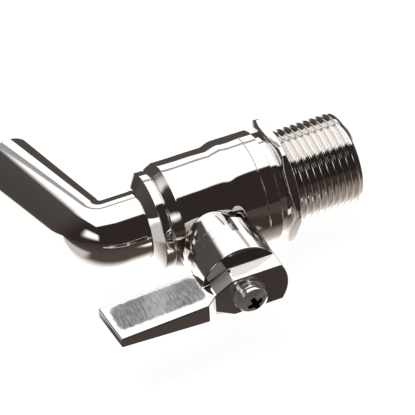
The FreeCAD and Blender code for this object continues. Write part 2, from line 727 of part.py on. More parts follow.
def add_paddle(body):
    """Paddle between two rectangles, with its tip cut on the slant and its front cut back at the hub."""
    start = D["neck_end"] - D["ramp_length"]
    end = D["paddle_length"] + D["tip_slant"]
    span = (end - hub_radius)
    grow = (hub_radius - start) / span
    thickness = lambda share: D["paddle_root"] / 2 + (D["paddle_root"] - D["paddle_tip"]) / 2 * share
    front = lambda share: front_face + D["root_front"] + (D["root_front"] - D["tip_front"]) * share
    back = lambda share: front_face - D["root_back"] + (D["tip_back"] - D["root_back"]) * share
    sections = []
    for station, share in ((start, grow), (end, Dim(-1, "-1"))):
        sketch = new_sketch(body, "XZ_Plane", station)
        half = thickness(share)
        rectangle(sketch, (-half, back(share)), (half, front(share)))
        sections.append(sketch)
    loft = body.newObject("PartDesign::AdditiveLoft", "paddle_loft")
    loft.Profile = sections[0]
    loft.Sections = [sections[1]]
    loft.Ruled = True
    doc.recompute()
    high = front_face + D["root_front"] + 1
    low = front_face - D["tip_back"] - 1
    tip = new_sketch(body, "YZ_Plane")
    outline(tip, [(-D["paddle_length"], high), (-(end + 1), high), (-(end + 1), low), (-end, low)])
    sunk(body, tip, D["front_width"], both=True)
    relief = new_sketch(body, "YZ_Plane")
    ramp_end = D["neck_end"] + D["ramp_length"]
    run_on = D["ramp_length"] / D["root_front"] / 2
    outline(relief, [(hub_radius, front_face), (-D["neck_end"], front_face),
                     (-(ramp_end + run_on), front_face + D["root_front"] + 0.5),
                     (hub_radius, front_face + D["root_front"] + 0.5)])
    sunk(body, relief, D["front_width"], both=True)


def bore_handle(body):
    """Square socket for the stem and the screw's hole through the front wall."""
    half = D["stem_square"] / 2 + D["fit_gap"]
    socket = new_sketch(body, "XY_Plane", wall_under)
    rectangle(socket, (-half, -half), (half, half))
    sunk(body, socket, D["hub_length"] + D["band_length"] + D["front_wall"])
    hole = new_sketch(body, "XY_Plane", front_face)
    circle(hole, D["washer_hole"] / 2)
    sunk(body, hole, D["front_wall"])


def soften_handle(body):
    """Round the paddle's long edges and its tip."""
    beyond = number(D["neck_end"] + D["ramp_length"]) + 1
    names = edges_where(body, lambda edge: edge.CenterOfMass.y < -beyond)
    rounded(body, names, D["handle_edge"])


def spout_tube():
    """Bent tube from its socket in the body, forward and then down to the open end."""
    body = new_body("spout_tube")
    outer, inner = D["tube_diameter"] / 2, D["tube_diameter"] / 2 - D["tube_wall"]
    turn, radius = D["bend_angle"], D["bend_radius"]
    setback = radius * tangent(turn / 2)
    bend_in = bend_station - setback
    start = (-socket_floor, 0)
    first = (-bend_in, 0)
    second = (-(bend_station + setback * cosine(turn)), -(setback * sine(turn)))
    end = (-(bend_station + D["spout_length"] * cosine(turn)), -(D["spout_length"] * sine(turn)))
    path = new_sketch(body, "YZ_Plane")
    plain = [FreeCAD.Vector(number(x), number(y), 0) for x, y in (start, first, second, end)]
    half_turn = math.radians(number(turn) / 2)
    top = FreeCAD.Vector(plain[1].x - number(radius) * math.sin(half_turn),
                         -number(radius) * (1 - math.cos(half_turn)), 0)
    ids = [path.addGeometry(Part.LineSegment(plain[0], plain[1]), False),
           path.addGeometry(Part.Arc(plain[1], top, plain[2]), False),
           path.addGeometry(Part.LineSegment(plain[2], plain[3]), False)]
    arc_start, arc_end = arc_ends(path, ids[1], plain[1])
    path.addConstraint(Sketcher.Constraint("Coincident", ids[0], 2, ids[1], arc_start))
    path.addConstraint(Sketcher.Constraint("Coincident", ids[1], arc_end, ids[2], 1))
    pin_point(path, ids[0], 1, start)
    pin_point(path, ids[0], 2, first)
    pin_point(path, ids[2], 1, second)
    bind(path, "Radius", (ids[1],), radius)
    pin_point(path, ids[2], 2, end)
    ring = new_sketch(body, "XZ_Plane", socket_floor)
    circle(ring, outer)
    circle(ring, inner)
    pipe = body.newObject("PartDesign::AdditivePipe", "spout_pipe")
    pipe.Profile = ring
    pipe.Spine = path
    doc.recompute()
    end_point = FreeCAD.Vector(0, number(end[0]), number(end[1]))
    ring_edges = edges_where(body, lambda edge: isinstance(edge.Curve, Part.Circle)
                             and edge.Curve.Center.distanceToPoint(end_point) < 1e-3)
    rounded(body, ring_edges, D["spout_edge"])
    return body


def build():
    """Make every piece in the order in which the valve is put together."""
    pieces = [
        valve_body(), inlet_connector(), body_o_ring(), seat("inlet_seat", 1), seat("outlet_seat", -1), ball(),
        stem(),
        ring_piece("thrust_washer", shaft_bore, recess_radius - D["fit_gap"], flange_top + D["fit_gap"],
                   D["thrust_thickness"]),
        stem_o_ring("lower_stem_o_ring", ring_first),
        stem_o_ring("upper_stem_o_ring", ring_last),
        handle(),
        ring_piece("flat_washer", D["washer_hole"] / 2, D["flat_diameter"] / 2, front_face, D["flat_thickness"]),
        lock_washer(), handle_screw(), spout_tube(),
    ]
    doc.recompute()
    return pieces


def write(pieces):
    """Check each object and each piece, then write one file per piece."""
    for item in doc.Objects:
        if "Invalid" in item.State or "Error" in item.State:
            raise RuntimeError(item.Label + " failed: " + str(item.State))
    os.makedirs("parts", exist_ok=True)
    for piece in pieces:
        shape = piece.Shape
        if shape.isNull() or not shape.isValid():
            raise RuntimeError(piece.Label + " has no valid shape")
        print(piece.Label, "solids", len(shape.Solids), "volume", round(shape.Volume, 1))
        shape.exportStep(os.path.join("parts", piece.Label + ".step"))


write(build())
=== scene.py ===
"""Beverage dispenser spigot: the looks of a polished tap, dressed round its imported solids."""

from dataclasses import dataclass
from enum import Enum
import logging
import math
from typing import Iterable, Sequence

import bmesh
import bpy
from mathutils import Matrix, Vector


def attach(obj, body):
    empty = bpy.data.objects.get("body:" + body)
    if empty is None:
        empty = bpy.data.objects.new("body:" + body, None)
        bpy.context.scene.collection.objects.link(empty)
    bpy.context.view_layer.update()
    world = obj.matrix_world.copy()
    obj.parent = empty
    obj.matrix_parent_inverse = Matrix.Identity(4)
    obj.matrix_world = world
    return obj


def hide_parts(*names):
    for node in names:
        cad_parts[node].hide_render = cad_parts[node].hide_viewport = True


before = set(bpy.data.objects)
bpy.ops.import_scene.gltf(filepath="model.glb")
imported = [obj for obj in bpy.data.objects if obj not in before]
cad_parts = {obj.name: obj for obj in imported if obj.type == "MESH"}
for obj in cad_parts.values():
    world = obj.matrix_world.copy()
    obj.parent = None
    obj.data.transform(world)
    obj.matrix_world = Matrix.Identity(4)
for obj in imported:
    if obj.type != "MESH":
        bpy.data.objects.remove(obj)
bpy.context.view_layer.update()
LOG = logging.getLogger("spigot")
MM = 0.001
# Stem axis, and the joint of connector and body, in millimetres behind the sealing face
STEM_STATION = 19.8
JOINT_STATION = 7.25
# Faces larger than this, in square metres, are flat shaded so that their corners don't streak
WIDE_FACE = 12.0e-6
BODY = "tap"
LEVER = "lever"
# Points closer than this, in millimetres, become one
MERGE = 0.0005
# Facets round the large turned pieces
FINE = 192
# Glossy depth above which a ray has met a second surface
SECOND_MIRROR = 1.5
Pair = tuple[float, float]
Triple = tuple[float, float, float]
Profile = Sequence[Triple]
Points = list[Pair]
Socket = bpy.types.NodeSocket
Node = bpy.types.Node
Tree = bpy.types.NodeTree
Object = bpy.types.Object
Solid = bmesh.types.BMesh
Vert = bmesh.types.BMVert


class Axis(Enum):
    """The two axes that turned pieces are turned about."""

    INLET = "inlet"
    STEM = "stem"


class Ease(Enum):
    """How a rise runs from its start to its end."""

    SMOOTH = "SMOOTHSTEP"
    EVEN = "LINEAR"


class Work(Enum):
    """What is done to a solid with another one."""

    JOIN = "UNION"
    CUT = "DIFFERENCE"


def linear(hex_colour: str) -> tuple[float, float, float, float]:
    """Turn an sRGB hex colour into linear values.

    Args:
        hex_colour: six hex digits.

    Returns:
        Red, green, blue and an alpha of 1.
    """
    parts = [int(hex_colour[i:i + 2], 16) / 255 for i in (0, 2, 4)]
    low = [p / 12.92 if p <= 0.04045 else ((p + 0.055) / 1.055) ** 2.4 for p in parts]
    return (low[0], low[1], low[2], 1.0)


def add_node(tree: Tree, kind: str, inputs: dict | None = None, **settings: object) -> Node:
    """Add one node with its settings, its input values and the links that come into it.

    Args:
        tree: the node tree.
        kind: the node's type name.
        inputs: input name or index to a value, or to an output socket that is linked to it.
        settings: attributes of the node.

    Returns:
        The new node.
    """
    node = tree.nodes.new(kind)
    for name, value in settings.items():
        setattr(node, name, value)
    for name, value in (inputs or {}).items():
        socket = node.inputs[name]
        if isinstance(value, Socket):
            tree.links.new(value, socket)
        else:
            socket.default_value = value
    return node


def maths(tree: Tree, operation: str, *values: object) -> Socket:
    """Output of one math node on numbers or sockets."""
    return add_node(tree, "ShaderNodeMath", dict(enumerate(values)), operation=operation).outputs[0]


def vector_maths(tree: Tree, operation: str, *values: object) -> Socket:
    """First output of one vector math node on vectors or sockets."""
    return add_node(tree, "ShaderNodeVectorMath", dict(enumerate(values)), operation=operation).outputs[0]


def fade(tree: Tree, value: Socket, start: float, end: float, top: float = 1.0,
         ease: Ease = Ease.SMOOTH) -> Socket:
    """Rise from 0 to a top while a value goes from a start to an end.

    Args:
        tree: the node tree.
        value: the value.
        start: where the rise begins; it may be above the end.
        end: where the top is reached.
        top: the highest share.
        ease: how the rise runs.

    Returns:
        The share.
    """
    return add_node(tree, "ShaderNodeMapRange", {"Value": value, "From Min": start, "From Max": end, "To Min": 0.0,
                                                 "To Max": top}, interpolation_type=ease.value).outputs[0]


def blend(tree: Tree, share: Socket, first: object, second: object) -> Socket:
    """Mix two colours."""
    return add_node(tree, "ShaderNodeMix", {"Factor": share, 6: first, 7: second}, data_type="RGBA").outputs[2]


def mixed_shader(tree: Tree, share: Socket, first: Node, second: Node) -> Node:
    """Mix two shader nodes."""
    return add_node(tree, "ShaderNodeMixShader", {0: share, 1: first.outputs[0], 2: second.outputs[0]})


def bare_tree(owner: bpy.types.ID) -> Tree:
    """Empty node tree of a new material or world.

    Args:
        owner: the material or world.

    Returns:
        Its tree, without nodes.
    """
    owner.use_nodes = True
    owner.node_tree.nodes.clear()
    return owner.node_tree


# Finishes

@dataclass(frozen=True)
class Finish:
    """A metal or plastic surface that is the same all over, with a fine relief.

    Attributes:
        name: what the real surface is.
        colour: sRGB hex colour.
        metallic: 1 for metal, 0 for plastic and rubber.
        roughness: spread of its reflections.
        relief_mm: distance between the relief's bumps, in millimetres.
        relief_depth_mm: height of the bumps, in millimetres.
        stretch: how many times longer the bumps are along X, Y and Z.
    """

    name: str
    colour: str
    metallic: float
    roughness: float
    relief_mm: float = 0.0
    relief_depth_mm: float = 0.0
    stretch: Triple = (1.0, 1.0, 1.0)

    def material(self) -> bpy.types.Material:
        """Build the finish, once, and return it.

        Returns:
            The material.
        """
        made = bpy.data.materials.get(self.name)
        if made is not None:
            return made
        made = bpy.data.materials.new(self.name)
        made.use_nodes = True
        tree = made.node_tree
        shader = tree.nodes["Principled BSDF"]
        shader.inputs["Base Color"].default_value = linear(self.colour)
        shader.inputs["Metallic"].default_value = self.metallic
        shader.inputs["Roughness"].default_value = self.roughness
        if self.relief_mm > 0.0:
            self.add_relief(tree, shader)
        return made

    def add_relief(self, tree: Tree, shader: Node) -> None:
        """Give the surface its fine relief from noise on object coordinates.

        Args:
            tree: the material's tree.
            shader: its surface node.
        """
        place = add_node(tree, "ShaderNodeTexCoord")
        scale = tuple(1.0 / s for s in self.stretch)
        turned = add_node(tree, "ShaderNodeMapping", {"Vector": place.outputs["Object"], "Scale": scale})
        noise = add_node(tree, "ShaderNodeTexNoise", {"Vector": turned.outputs["Vector"],
                                                      "Scale": 1.0 / (self.relief_mm * MM), "Detail": 0.6})
        bump = add_node(tree, "ShaderNodeBump", {"Height": noise.outputs["Fac"], "Strength": 1.0,
                                                 "Distance": self.relief_depth_mm * MM})
        tree.links.new(bump.outputs["Normal"], shader.inputs["Normal"])


@dataclass(frozen=True)
class HandleFinish(Finish):
    """Polished plated casting whose paddle sides are worn to a scratched satin grey between bright margins.

    Attributes:
        worn: sRGB hex colour of the worn field.
        worn_bright: sRGB hex colour of its brushed lighter clouds.
        worn_roughness: spread of its reflections.
        slope_roughness: the same on the brushed slopes of the neck.
        centre: the field's middle along Y and Z, in millimetres.
        half: half its size along Y and Z, in millimetres.
        corner: its corner radius, in millimetres.
        blur: half the width of the field's soft border, in millimetres.
        wander: how far the border strays, in millimetres.
        strokes: scale of the brush strokes, and their turn in degrees.
    """

    worn: str = "565657"
    worn_bright: str = "9D9E9F"
    worn_roughness: float = 0.42
    slope_roughness: float = 0.62
    centre: Pair = (-37.8, 24.95)
    half: Pair = (9.3, 3.5)
    corner: float = 1.3
    blur: float = 0.35
    wander: float = 0.8
    strokes: Pair = (4200.0, -24.0)

    def field(self, tree: Tree, place: Socket) -> Socket:
        """Find the worn field.

        Args:
            tree: the material's tree.
            place: object coordinates.

        Returns:
            The field's share at each place, from 0 to 1.
        """
        middle = Vector((0.0, self.centre[0], self.centre[1])) * MM
        straight = Vector((1.0, (self.half[0] - self.corner) * MM, (self.half[1] - self.corner) * MM))
        noise = add_node(tree, "ShaderNodeTexNoise", {"Vector": place, "Scale": 900.0, "Detail": 3.0})
        shaken = vector_maths(tree, "SUBTRACT", noise.outputs["Color"], (0.5, 0.5, 0.5))
        moved = vector_maths(tree, "MULTIPLY_ADD", shaken, (self.wander * MM,) * 3, place)
        folded = vector_maths(tree, "ABSOLUTE", vector_maths(tree, "SUBTRACT", moved, middle))
        past = vector_maths(tree, "MAXIMUM", vector_maths(tree, "SUBTRACT", folded, straight), (0.0, 0.0, 0.0))
        reach = add_node(tree, "ShaderNodeVectorMath", {0: past}, operation="LENGTH").outputs["Value"]
        return fade(tree, reach, (self.corner + self.blur) * MM, (self.corner - self.blur) * MM)

    def slopes(self, tree: Tree, place: Socket) -> Socket:
        """Find the brushed slopes between the front's flats and the paddle.

        Args:
            tree: the material's tree.
            place: object coordinates.

        Returns:
            The slopes' share at each place, from 0 to 1.
        """
        split = add_node(tree, "ShaderNodeSeparateXYZ", {0: place})
        share = fade(tree, maths(tree, "ABSOLUTE", split.outputs["X"]), 2.4 * MM, 2.5 * MM, ease=Ease.EVEN)
        for axis, start, end in (("Y", -22.7, -22.9), ("Z", 25.3, 25.5), ("Z", 28.6, 28.5)):
            step = fade(tree, split.outputs[axis], start * MM, end * MM, ease=Ease.EVEN)
            share = maths(tree, "MULTIPLY", share, step)
        return share

    def material(self) -> bpy.types.Material:
        """Build the finish with its worn field.

        Returns:
            The material.
        """
        made = super().material()
        tree = made.node_tree
        shader = tree.nodes["Principled BSDF"]
        place = add_node(tree, "ShaderNodeTexCoord").outputs["Object"]
        share = self.field(tree, place)
        scale, turn = self.strokes
        brushed = add_node(tree, "ShaderNodeMapping", {"Vector": place, "Rotation": (math.radians(turn), 0.0, 0.0),
                                                       "Scale": (1.0, 1.0, 0.12)})
        strokes = add_node(tree, "ShaderNodeTexNoise", {"Vector": brushed.outputs["Vector"], "Scale": scale,
                                                        "Detail": 4.0})
        clouds = add_node(tree, "ShaderNodeTexNoise", {"Vector": place, "Scale": 170.0, "Detail": 2.0})
        mixed = maths(tree, "MULTIPLY", strokes.outputs["Fac"], clouds.outputs["Fac"])
        worn = blend(tree, fade(tree, mixed, 0.13, 0.36, ease=Ease.EVEN), linear(self.worn), linear(self.worn_bright))
        rough = add_node(tree, "ShaderNodeMix", {"Factor": share, 2: self.roughness, 3: self.worn_roughness})
        rough = add_node(tree, "ShaderNodeMix", {"Factor": self.slopes(tree, place), 2: rough.outputs[0],
                                                 3: self.slope_roughness})
        tree.links.new(blend(tree, share, linear(self.colour), worn), shader.inputs["Base Color"])
        tree.links.new(rough.outputs[0], shader.inputs["Roughness"])
        return made


# Polished stainless steel: mirror bright, with the slow waviness that hand polishing leaves
POLISHED = Finish("polished_stainless_steel", "D6D2CE", 1.0, 0.035, 9.0, 0.015)
# The cast body: as bright, but its broad hand-polished waves bend what it mirrors
CAST_POLISHED = Finish("polished_cast_body", "D6D2CE", 1.0, 0.035, 8.0, 0.38)
# Handle: plated casting, a little duller than the body
HANDLE_FINISH = HandleFinish("plated_handle_with_worn_paddle", "D4D1CE", 1.0, 0.09, 3.0, 0.006)
# Turned and chromed thread: a little duller than the polished body
THREAD_FINISH = Finish("turned_chromed_thread", "D2CECA", 1.0, 0.09)
# Zinc-plated and chromed small parts: screw and washers
SMALL_PARTS = Finish("bright_zinc_small_parts", "EAE7E4", 0.9, 0.12)
# The same plating in the screw's cross recess, its colour darkened as painted shade for the shade inside the recess
RECESS_SHADE = Finish("cross_recess_painted_shade", "3A3633", 1.0, 0.4)
# Turned stainless steel inside the valve: unpolished, so it scatters more
TURNED = Finish("turned_stainless_steel", "B9B5B0", 1.0, 0.28)
# PTFE: waxy white
SEAT_WHITE = Finish("ptfe_seat", "EDECE6", 0.0, 0.42)
# Nitrile rubber: soft black
SEAL_BLACK = Finish("nitrile_rubber", "1C1B1A", 0.0, 0.55)


def use(obj: Object, finish: Finish) -> None:
    """Put one finish on a whole object."""
    obj.data.materials.clear()
    obj.data.materials.append(finish.material())


# Building blocks

def arc_points(centre: Pair, radius: float, start: float, end: float, count: int) -> Points:
    """Points on an arc, angles in degrees.

    Args:
        centre: the arc's centre.
        radius: its radius.
        start: first angle.
        end: last angle.
        count: how many points.

    Returns:
        The points in order.
    """
    steps = [math.radians(start + (end - start) * i / (count - 1)) for i in range(count)]
    return [(centre[0] + radius * math.cos(a), centre[1] + radius * math.sin(a)) for a in steps]


def round_corners(profile: Profile, segments: int = 4) -> Points:
    """Round the corners of a closed profile.

    Args:
        profile: corners as (radius, station, rounding), all in millimetres.
        segments: facets per corner.

    Returns:
        The rounded outline as (radius, station) points.
    """
    points = []
    total = len(profile)
    for index, (x, y, radius) in enumerate(profile):
        here = Vector((x, y))
        if radius <= 0.0:
            points.append((x, y))
            continue
        before = Vector(profile[index - 1][:2]) - here
        after = Vector(profile[(index + 1) % total][:2]) - here
        angle = before.angle(after)
        reach = min(radius / math.tan(angle / 2), before.length * 0.49, after.length * 0.49)
        start = here + before.normalized() * reach
        end = here + after.normalized() * reach
        for step in range(segments + 1):
            share = step / segments
            point = start.lerp(here, share).lerp(here.lerp(end, share), share)
            points.append((point.x, point.y))
    return points


def placed(name: str, data: bpy.types.ID) -> Object:
    """Put data into the scene as a named object.

    Args:
        name: the object's name.
        data: its mesh, lamp or camera.

    Returns:
        The object.
    """
    obj = bpy.data.objects.new(name, data)
    bpy.context.scene.collection.objects.link(obj)
    return obj


def mesh_data(name: str, mesh: Solid) -> bpy.types.Mesh:
    """Write a bmesh into new mesh data and free it.

    Args:
        name: the mesh's name.
        mesh: the bmesh.

    Returns:
        The mesh data.
    """
    data = bpy.data.meshes.new(name)
    mesh.to_mesh(data)
    mesh.free()
    return data


def absorb(mesh: Solid, extra: Solid) -> None:
    """Add one bmesh to another and free it.

    Args:
        mesh: the one that grows.
        extra: the one that is added.
    """
    data = mesh_data("part", extra)
    mesh.from_mesh(data)
    bpy.data.meshes.remove(data)


def new_object(name: str, mesh: Solid, finish: Finish, body: str,
               smooth_angle: float = 32.0) -> Object:
    """Turn a bmesh in millimetres into a finished piece on its body.

    Args:
        name: the piece's name.
        mesh: its shape in millimetres, freed here.
        finish: its surface.
        body: the CAD body that it rides on.
        smooth_angle: edges sharper than this many degrees stay sharp.

    Returns:
        The new object.
    """
    bmesh.ops.remove_doubles(mesh, verts=mesh.verts, dist=MERGE)
    bmesh.ops.recalc_face_normals(mesh, faces=mesh.faces)
    bmesh.ops.scale(mesh, vec=(MM, MM, MM), verts=mesh.verts)
    limit = math.radians(smooth_angle)
    for edge in mesh.edges:
        edge.smooth = edge.calc_face_angle(math.pi) < limit
    for face in mesh.faces:
        face.smooth = face.calc_area() < WIDE_FACE
    obj = placed(name, mesh_data(name, mesh))
    use(obj, finish)
    weigh = obj.modifiers.new("weighted_normals", "WEIGHTED_NORMAL")
    weigh.mode = "FACE_AREA"
    weigh.keep_sharp = True
    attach(obj, body)
    return obj


def turned_mesh(outline: Iterable[Pair], axis: Axis, steps: int = 144,
                closed: bool = True) -> Solid:
    """Turn an outline into a body of revolution.

    Args:
        outline: (radius, station) points; the station runs along the axis.
        axis: the inlet's or the stem's axis.
        steps: facets round the axis.
        closed: join the last point to the first.

    Returns:
        The turned shape.
    """
    mesh = bmesh.new()
    if axis is Axis.INLET:
        verts = [mesh.verts.new((r, y, 0.0)) for r, y in outline]
        direction, centre = (0.0, 1.0, 0.0), (0.0, 0.0, 0.0)
    else:
        verts = [mesh.verts.new((r, -STEM_STATION, z)) for r, z in outline]
        direction, centre = (0.0, 0.0, 1.0), (0.0, -STEM_STATION, 0.0)
    pairs = list(zip(verts, verts[1:]))
    if closed:
        pairs.append((verts[-1], verts[0]))
    edges = [mesh.edges.new(pair) for pair in pairs]
    bmesh.ops.spin(mesh, geom=verts + edges, cent=centre, axis=direction, dvec=(0, 0, 0),
                   angle=math.tau, steps=steps, use_merge=True, use_duplicate=False)
    bmesh.ops.remove_doubles(mesh, verts=mesh.verts, dist=MERGE)
    return mesh


def plug(radius: float, low: float, high: float, steps: int) -> Solid:
    """Solid cylinder about the stem axis between two heights."""
    return turned_mesh([(0.0, low), (radius, low), (radius, high), (0.0, high)], Axis.STEM, steps, closed=False)


def swept_mesh(outline: Points, start: float, sweep: float, climb: float = 0.0) -> Solid:
    """Sweep an outline part of the way round the stem axis.

    Args:
        outline: (radius, height) points.
        start: first angle from +X, in degrees.
        sweep: angle that it covers, in degrees.
        climb: rise at each of the 90 steps, in millimetres.

    Returns:
        The swept solid.
    """
    mesh, centre = bmesh.new(), (0, -STEM_STATION, 0)
    face = mesh.faces.new([mesh.verts.new((r, -STEM_STATION, z)) for r, z in outline])
    bmesh.ops.rotate(mesh, verts=mesh.verts, cent=centre, matrix=Matrix.Rotation(math.radians(start), 3, "Z"))
    bmesh.ops.spin(mesh, geom=[face], cent=centre, axis=(0, 0, 1), dvec=(0, 0, climb), angle=math.radians(sweep),
                   steps=90, use_merge=False, use_duplicate=False)
    return mesh


def extruded(mesh: Solid, corners: Sequence[Triple],
             way: Triple) -> list[Vert]:
    """Make a face and extrude it.

    Args:
        mesh: the bmesh that takes it.
        corners: the face's corners.
        way: how far its copy is moved.

    Returns:
        The corners of the copy.
    """
    face = mesh.faces.new([mesh.verts.new(corner) for corner in corners])
    grown = bmesh.ops.extrude_face_region(mesh, geom=[face])
    far = [item for item in grown["geom"] if isinstance(item, Vert)]
    bmesh.ops.translate(mesh, vec=way, verts=far)
    return far


def prism(points: Points, low: float, high: float) -> Solid:
    """Raise a polygon in X and Y, counted from the stem axis, between two heights.

    Args:
        points: the polygon's corners.
        low: its lower height.
        high: its upper height.

    Returns:
        The prism.
    """
    mesh = bmesh.new()
    extruded(mesh, [(x, y - STEM_STATION, low) for x, y in points], (0, 0, high - low))
    bmesh.ops.recalc_face_normals(mesh, faces=mesh.faces)
    return mesh


def set_radius(vert: Vert, radius: float) -> None:
    """Move a point straight to or from the inlet's axis until it has a radius."""
    share = radius / math.hypot(vert.co.x, vert.co.z)
    vert.co = (vert.co.x * share, vert.co.y, vert.co.z * share)


def cutter_object(mesh: Solid) -> Object:
    """A passing object that a boolean works with, in millimetres."""
    bmesh.ops.recalc_face_normals(mesh, faces=mesh.faces)
    return placed("tool", mesh_data("tool", mesh))


def combined(base: Solid, steps: Sequence[tuple[Work, Solid]], bevel_mm: float,
             bevel_angle: float = 24.0, segments: int = 3) -> Solid:
    """Join and cut solids, then round the edges that are left.

    Args:
        base: the first solid.
        steps: pairs of what is done and the solid it is done with.
        bevel_mm: rounding width.
        bevel_angle: edges sharper than this many degrees are rounded.
        segments: facets per rounding.

    Returns:
        The finished solid in millimetres.
    """
    obj = cutter_object(base)
    tools = []
    for work, mesh in steps:
        tools.append(cutter_object(mesh))
        step = obj.modifiers.new("step", "BOOLEAN")
        step.operation = work.value
        step.solver = "EXACT"
        step.object = tools[-1]
    bpy.context.view_layer.update()
    graph = bpy.context.evaluated_depsgraph_get()
    result = bmesh.new()
    result.from_mesh(obj.evaluated_get(graph).to_mesh())
    for tool in tools + [obj]:
        data = tool.data
        bpy.data.objects.remove(tool)
        bpy.data.meshes.remove(data)
    bmesh.ops.remove_doubles(result, verts=result.verts, dist=0.01)
    bmesh.ops.dissolve_limit(result, angle_limit=math.radians(0.8), verts=result.verts, edges=result.edges)
    sharp = [e for e in result.edges if len(e.link_faces) == 2 and e.calc_face_angle(0.0) > math.radians(bevel_angle)]
    LOG.info("edges to round: %d of %d, shortest %.3f mm", len(sharp), len(result.edges),
             min(e.calc_length() for e in sharp))
    bmesh.ops.bevel(result, geom=sharp, offset=bevel_mm, offset_type="OFFSET", segments=segments, profile=0.5,
                    affect="EDGES", clamp_overlap=False, loop_slide=True, material=-1)
    return result


# Sub-assemblies

@dataclass
class ValveBody:
    """The turned and cast body, with its stem boss and travel stop. Sizes in millimetres."""

    large: float = 12.0
    small: float = 11.4
    sweep_from: float = 11.65
    sweep_to: float = 14.85
    shoulder_from: float = 25.35
    rim_from: float = 27.75
    rim_to: float = 29.65
    rim: float = 10.5
    nose_end: float = 31.45
    nose: float = 7.85
    socket: float = 7.28
    socket_floor: float = 27.85
    flow: float = 4.6
    chamber: float = 8.2
    inlet_seat: float = 12.7
    outlet_seat: float = 26.9
    spigot: float = 9.45
    boss: float = 6.1
    boss_top: float = 15.9
    fillet: float = 0.4
    lug: float = 7.7
    lug_start: float = 256.0
    lug_end: float = 344.0

    def profile(self) -> Points:
        """The body's closed profile.

        Returns:
            Its (radius, Y) points.
        """
        corners: list[Triple] = [
            (self.spigot, -JOINT_STATION, 0.0), (self.large, -JOINT_STATION, 0.18), (self.large, -self.sweep_from, 0.0),
        ]
        count = 14
        span = self.sweep_to - self.sweep_from
        for step in range(1, count):
            share = step / count
            ease = (1 - math.cos(math.pi * share)) / 2
            corners.append((self.large + (self.small - self.large) * ease, -(self.sweep_from + span * share), 0.0))
        corners += [
            (self.small, -self.sweep_to, 0.0), (self.small, -self.shoulder_from, 0.9),
            (self.rim, -(self.rim_from - 0.25), 0.2), (self.rim - 0.35, -self.rim_from, 0.12),
            (self.rim, -(self.rim_from + 0.25), 0.15), (self.rim, -self.rim_to, 0.3),
            (self.nose, -self.nose_end, 0.25), (self.socket, -self.nose_end, 0.0),
            (self.socket, -self.socket_floor, 0.0), (self.flow, -self.socket_floor, 0.0),
            (self.flow, -self.outlet_seat, 0.0), (self.chamber, -self.outlet_seat, 0.0),
            (self.chamber, -self.inlet_seat, 0.0), (self.spigot, -self.inlet_seat, 0.0),
        ]
        return round_corners(corners, 5)

    def surface_height(self, x: float, y: float) -> float:
        """Find the body's outer surface.

        Args:
            x: place along X.
            y: place along Y, counted from the stem axis.

        Returns:
            Height of the surface above the body's axis there.
        """
        station = STEM_STATION - y
        radius = self.small
        if station < self.sweep_to:
            share = min(max((self.sweep_to - station) / (self.sweep_to - self.sweep_from), 0.0), 1.0)
            radius += (self.large - self.small) * (1 - math.cos(math.pi * share)) / 2
        if station > self.shoulder_from:
            slope = (self.small - self.rim) / (self.rim_from - self.shoulder_from)
            radius -= (station - self.shoulder_from) * slope
        return math.sqrt(max(radius * radius - x * x, 0.0))

    def foot_of(self, centre: Pair, angle: float) -> Pair:
        """Nearest point of the body's surface to a point in one radial plane of the boss.

        Args:
            centre: the point, as (radius, height).
            angle: the plane's angle about the stem axis, in radians.

        Returns:
            The nearest point as (radius, height).
        """
        low, high = self.boss, self.boss + 2.5 * self.fillet

        def gap(r: float) -> float:
            """Distance from the centre to the surface at one radius."""
            return math.hypot(r - centre[0], self.surface_height(r * math.cos(angle), r * math.sin(angle)) - centre[1])
        for _round in range(36):
            first, second = low + (high - low) / 3, high - (high - low) / 3
            if gap(first) < gap(second):
                high = second
            else:
                low = first
        r = (low + high) / 2
        return r, self.surface_height(r * math.cos(angle), r * math.sin(angle))

    def boss_column(self, angle: float) -> Points:
        """Fillet between boss and body in one radial plane.

        Args:
            angle: the plane's angle about the stem axis, in radians.

        Returns:
            (radius, height) points from the boss wall down and out to the body.
        """
        centre_r = self.boss + self.fillet
        centre_z = self.surface_height(centre_r * math.cos(angle), centre_r * math.sin(angle)) + self.fillet
        for _round in range(24):
            foot = self.foot_of((centre_r, centre_z), angle)
            centre_z += self.fillet - math.hypot(foot[0] - centre_r, foot[1] - centre_z)
        turn = (math.atan2(foot[1] - centre_z, foot[0] - centre_r) - math.pi) % math.tau
        steps = 10
        return [(centre_r + self.fillet * math.cos(math.pi + turn * i / steps),
                 centre_z + self.fillet * math.sin(math.pi + turn * i / steps)) for i in range(steps + 1)]

    def boss_mesh(self) -> Solid:
        """Boss wall, its rounded top and the fillet that runs out on the body.

        Returns:
            The boss, open below.
        """
        top, apart, rings = 11.0, 0.1, 11
        mesh = turned_mesh([(3.6, self.boss_top), (self.boss - 0.3, self.boss_top),
                            (self.boss - 0.09, self.boss_top - 0.09), (self.boss, self.boss_top - 0.3),
                            (self.boss, 12.0)] + [(self.boss, top - apart * i) for i in range(rings)],
                           Axis.STEM, closed=False)
        columns: dict[int, Points] = {}
        for vert in mesh.verts:
            if vert.co.z > top + apart / 2:
                continue
            angle = math.atan2(vert.co.y + STEM_STATION, vert.co.x)
            key = round(math.degrees(angle) * 10)
            if key not in columns:
                columns[key] = self.boss_column(angle)
            radius, height = columns[key][round((top - vert.co.z) / apart)]
            vert.co = (radius * math.cos(angle), radius * math.sin(angle) - STEM_STATION, height - 0.004)
        return mesh

    def lug_mesh(self) -> Solid:
        """The travel stop beside the boss.

        Returns:
            The stop, with its top edges rounded.
        """
        outer = arc_points((0, 0), self.lug, self.lug_start, self.lug_end, 32)
        inner = arc_points((0, 0), self.boss - 0.6, self.lug_end, self.lug_start, 24)
        mesh = prism(outer + inner, 6.0, self.boss_top - 0.05)
        top = [e for e in mesh.edges if all(v.co.z > 15 for v in e.verts)]
        bmesh.ops.bevel(mesh, geom=top, offset=0.25, segments=3, affect="EDGES", profile=0.5, material=-1)
        return mesh

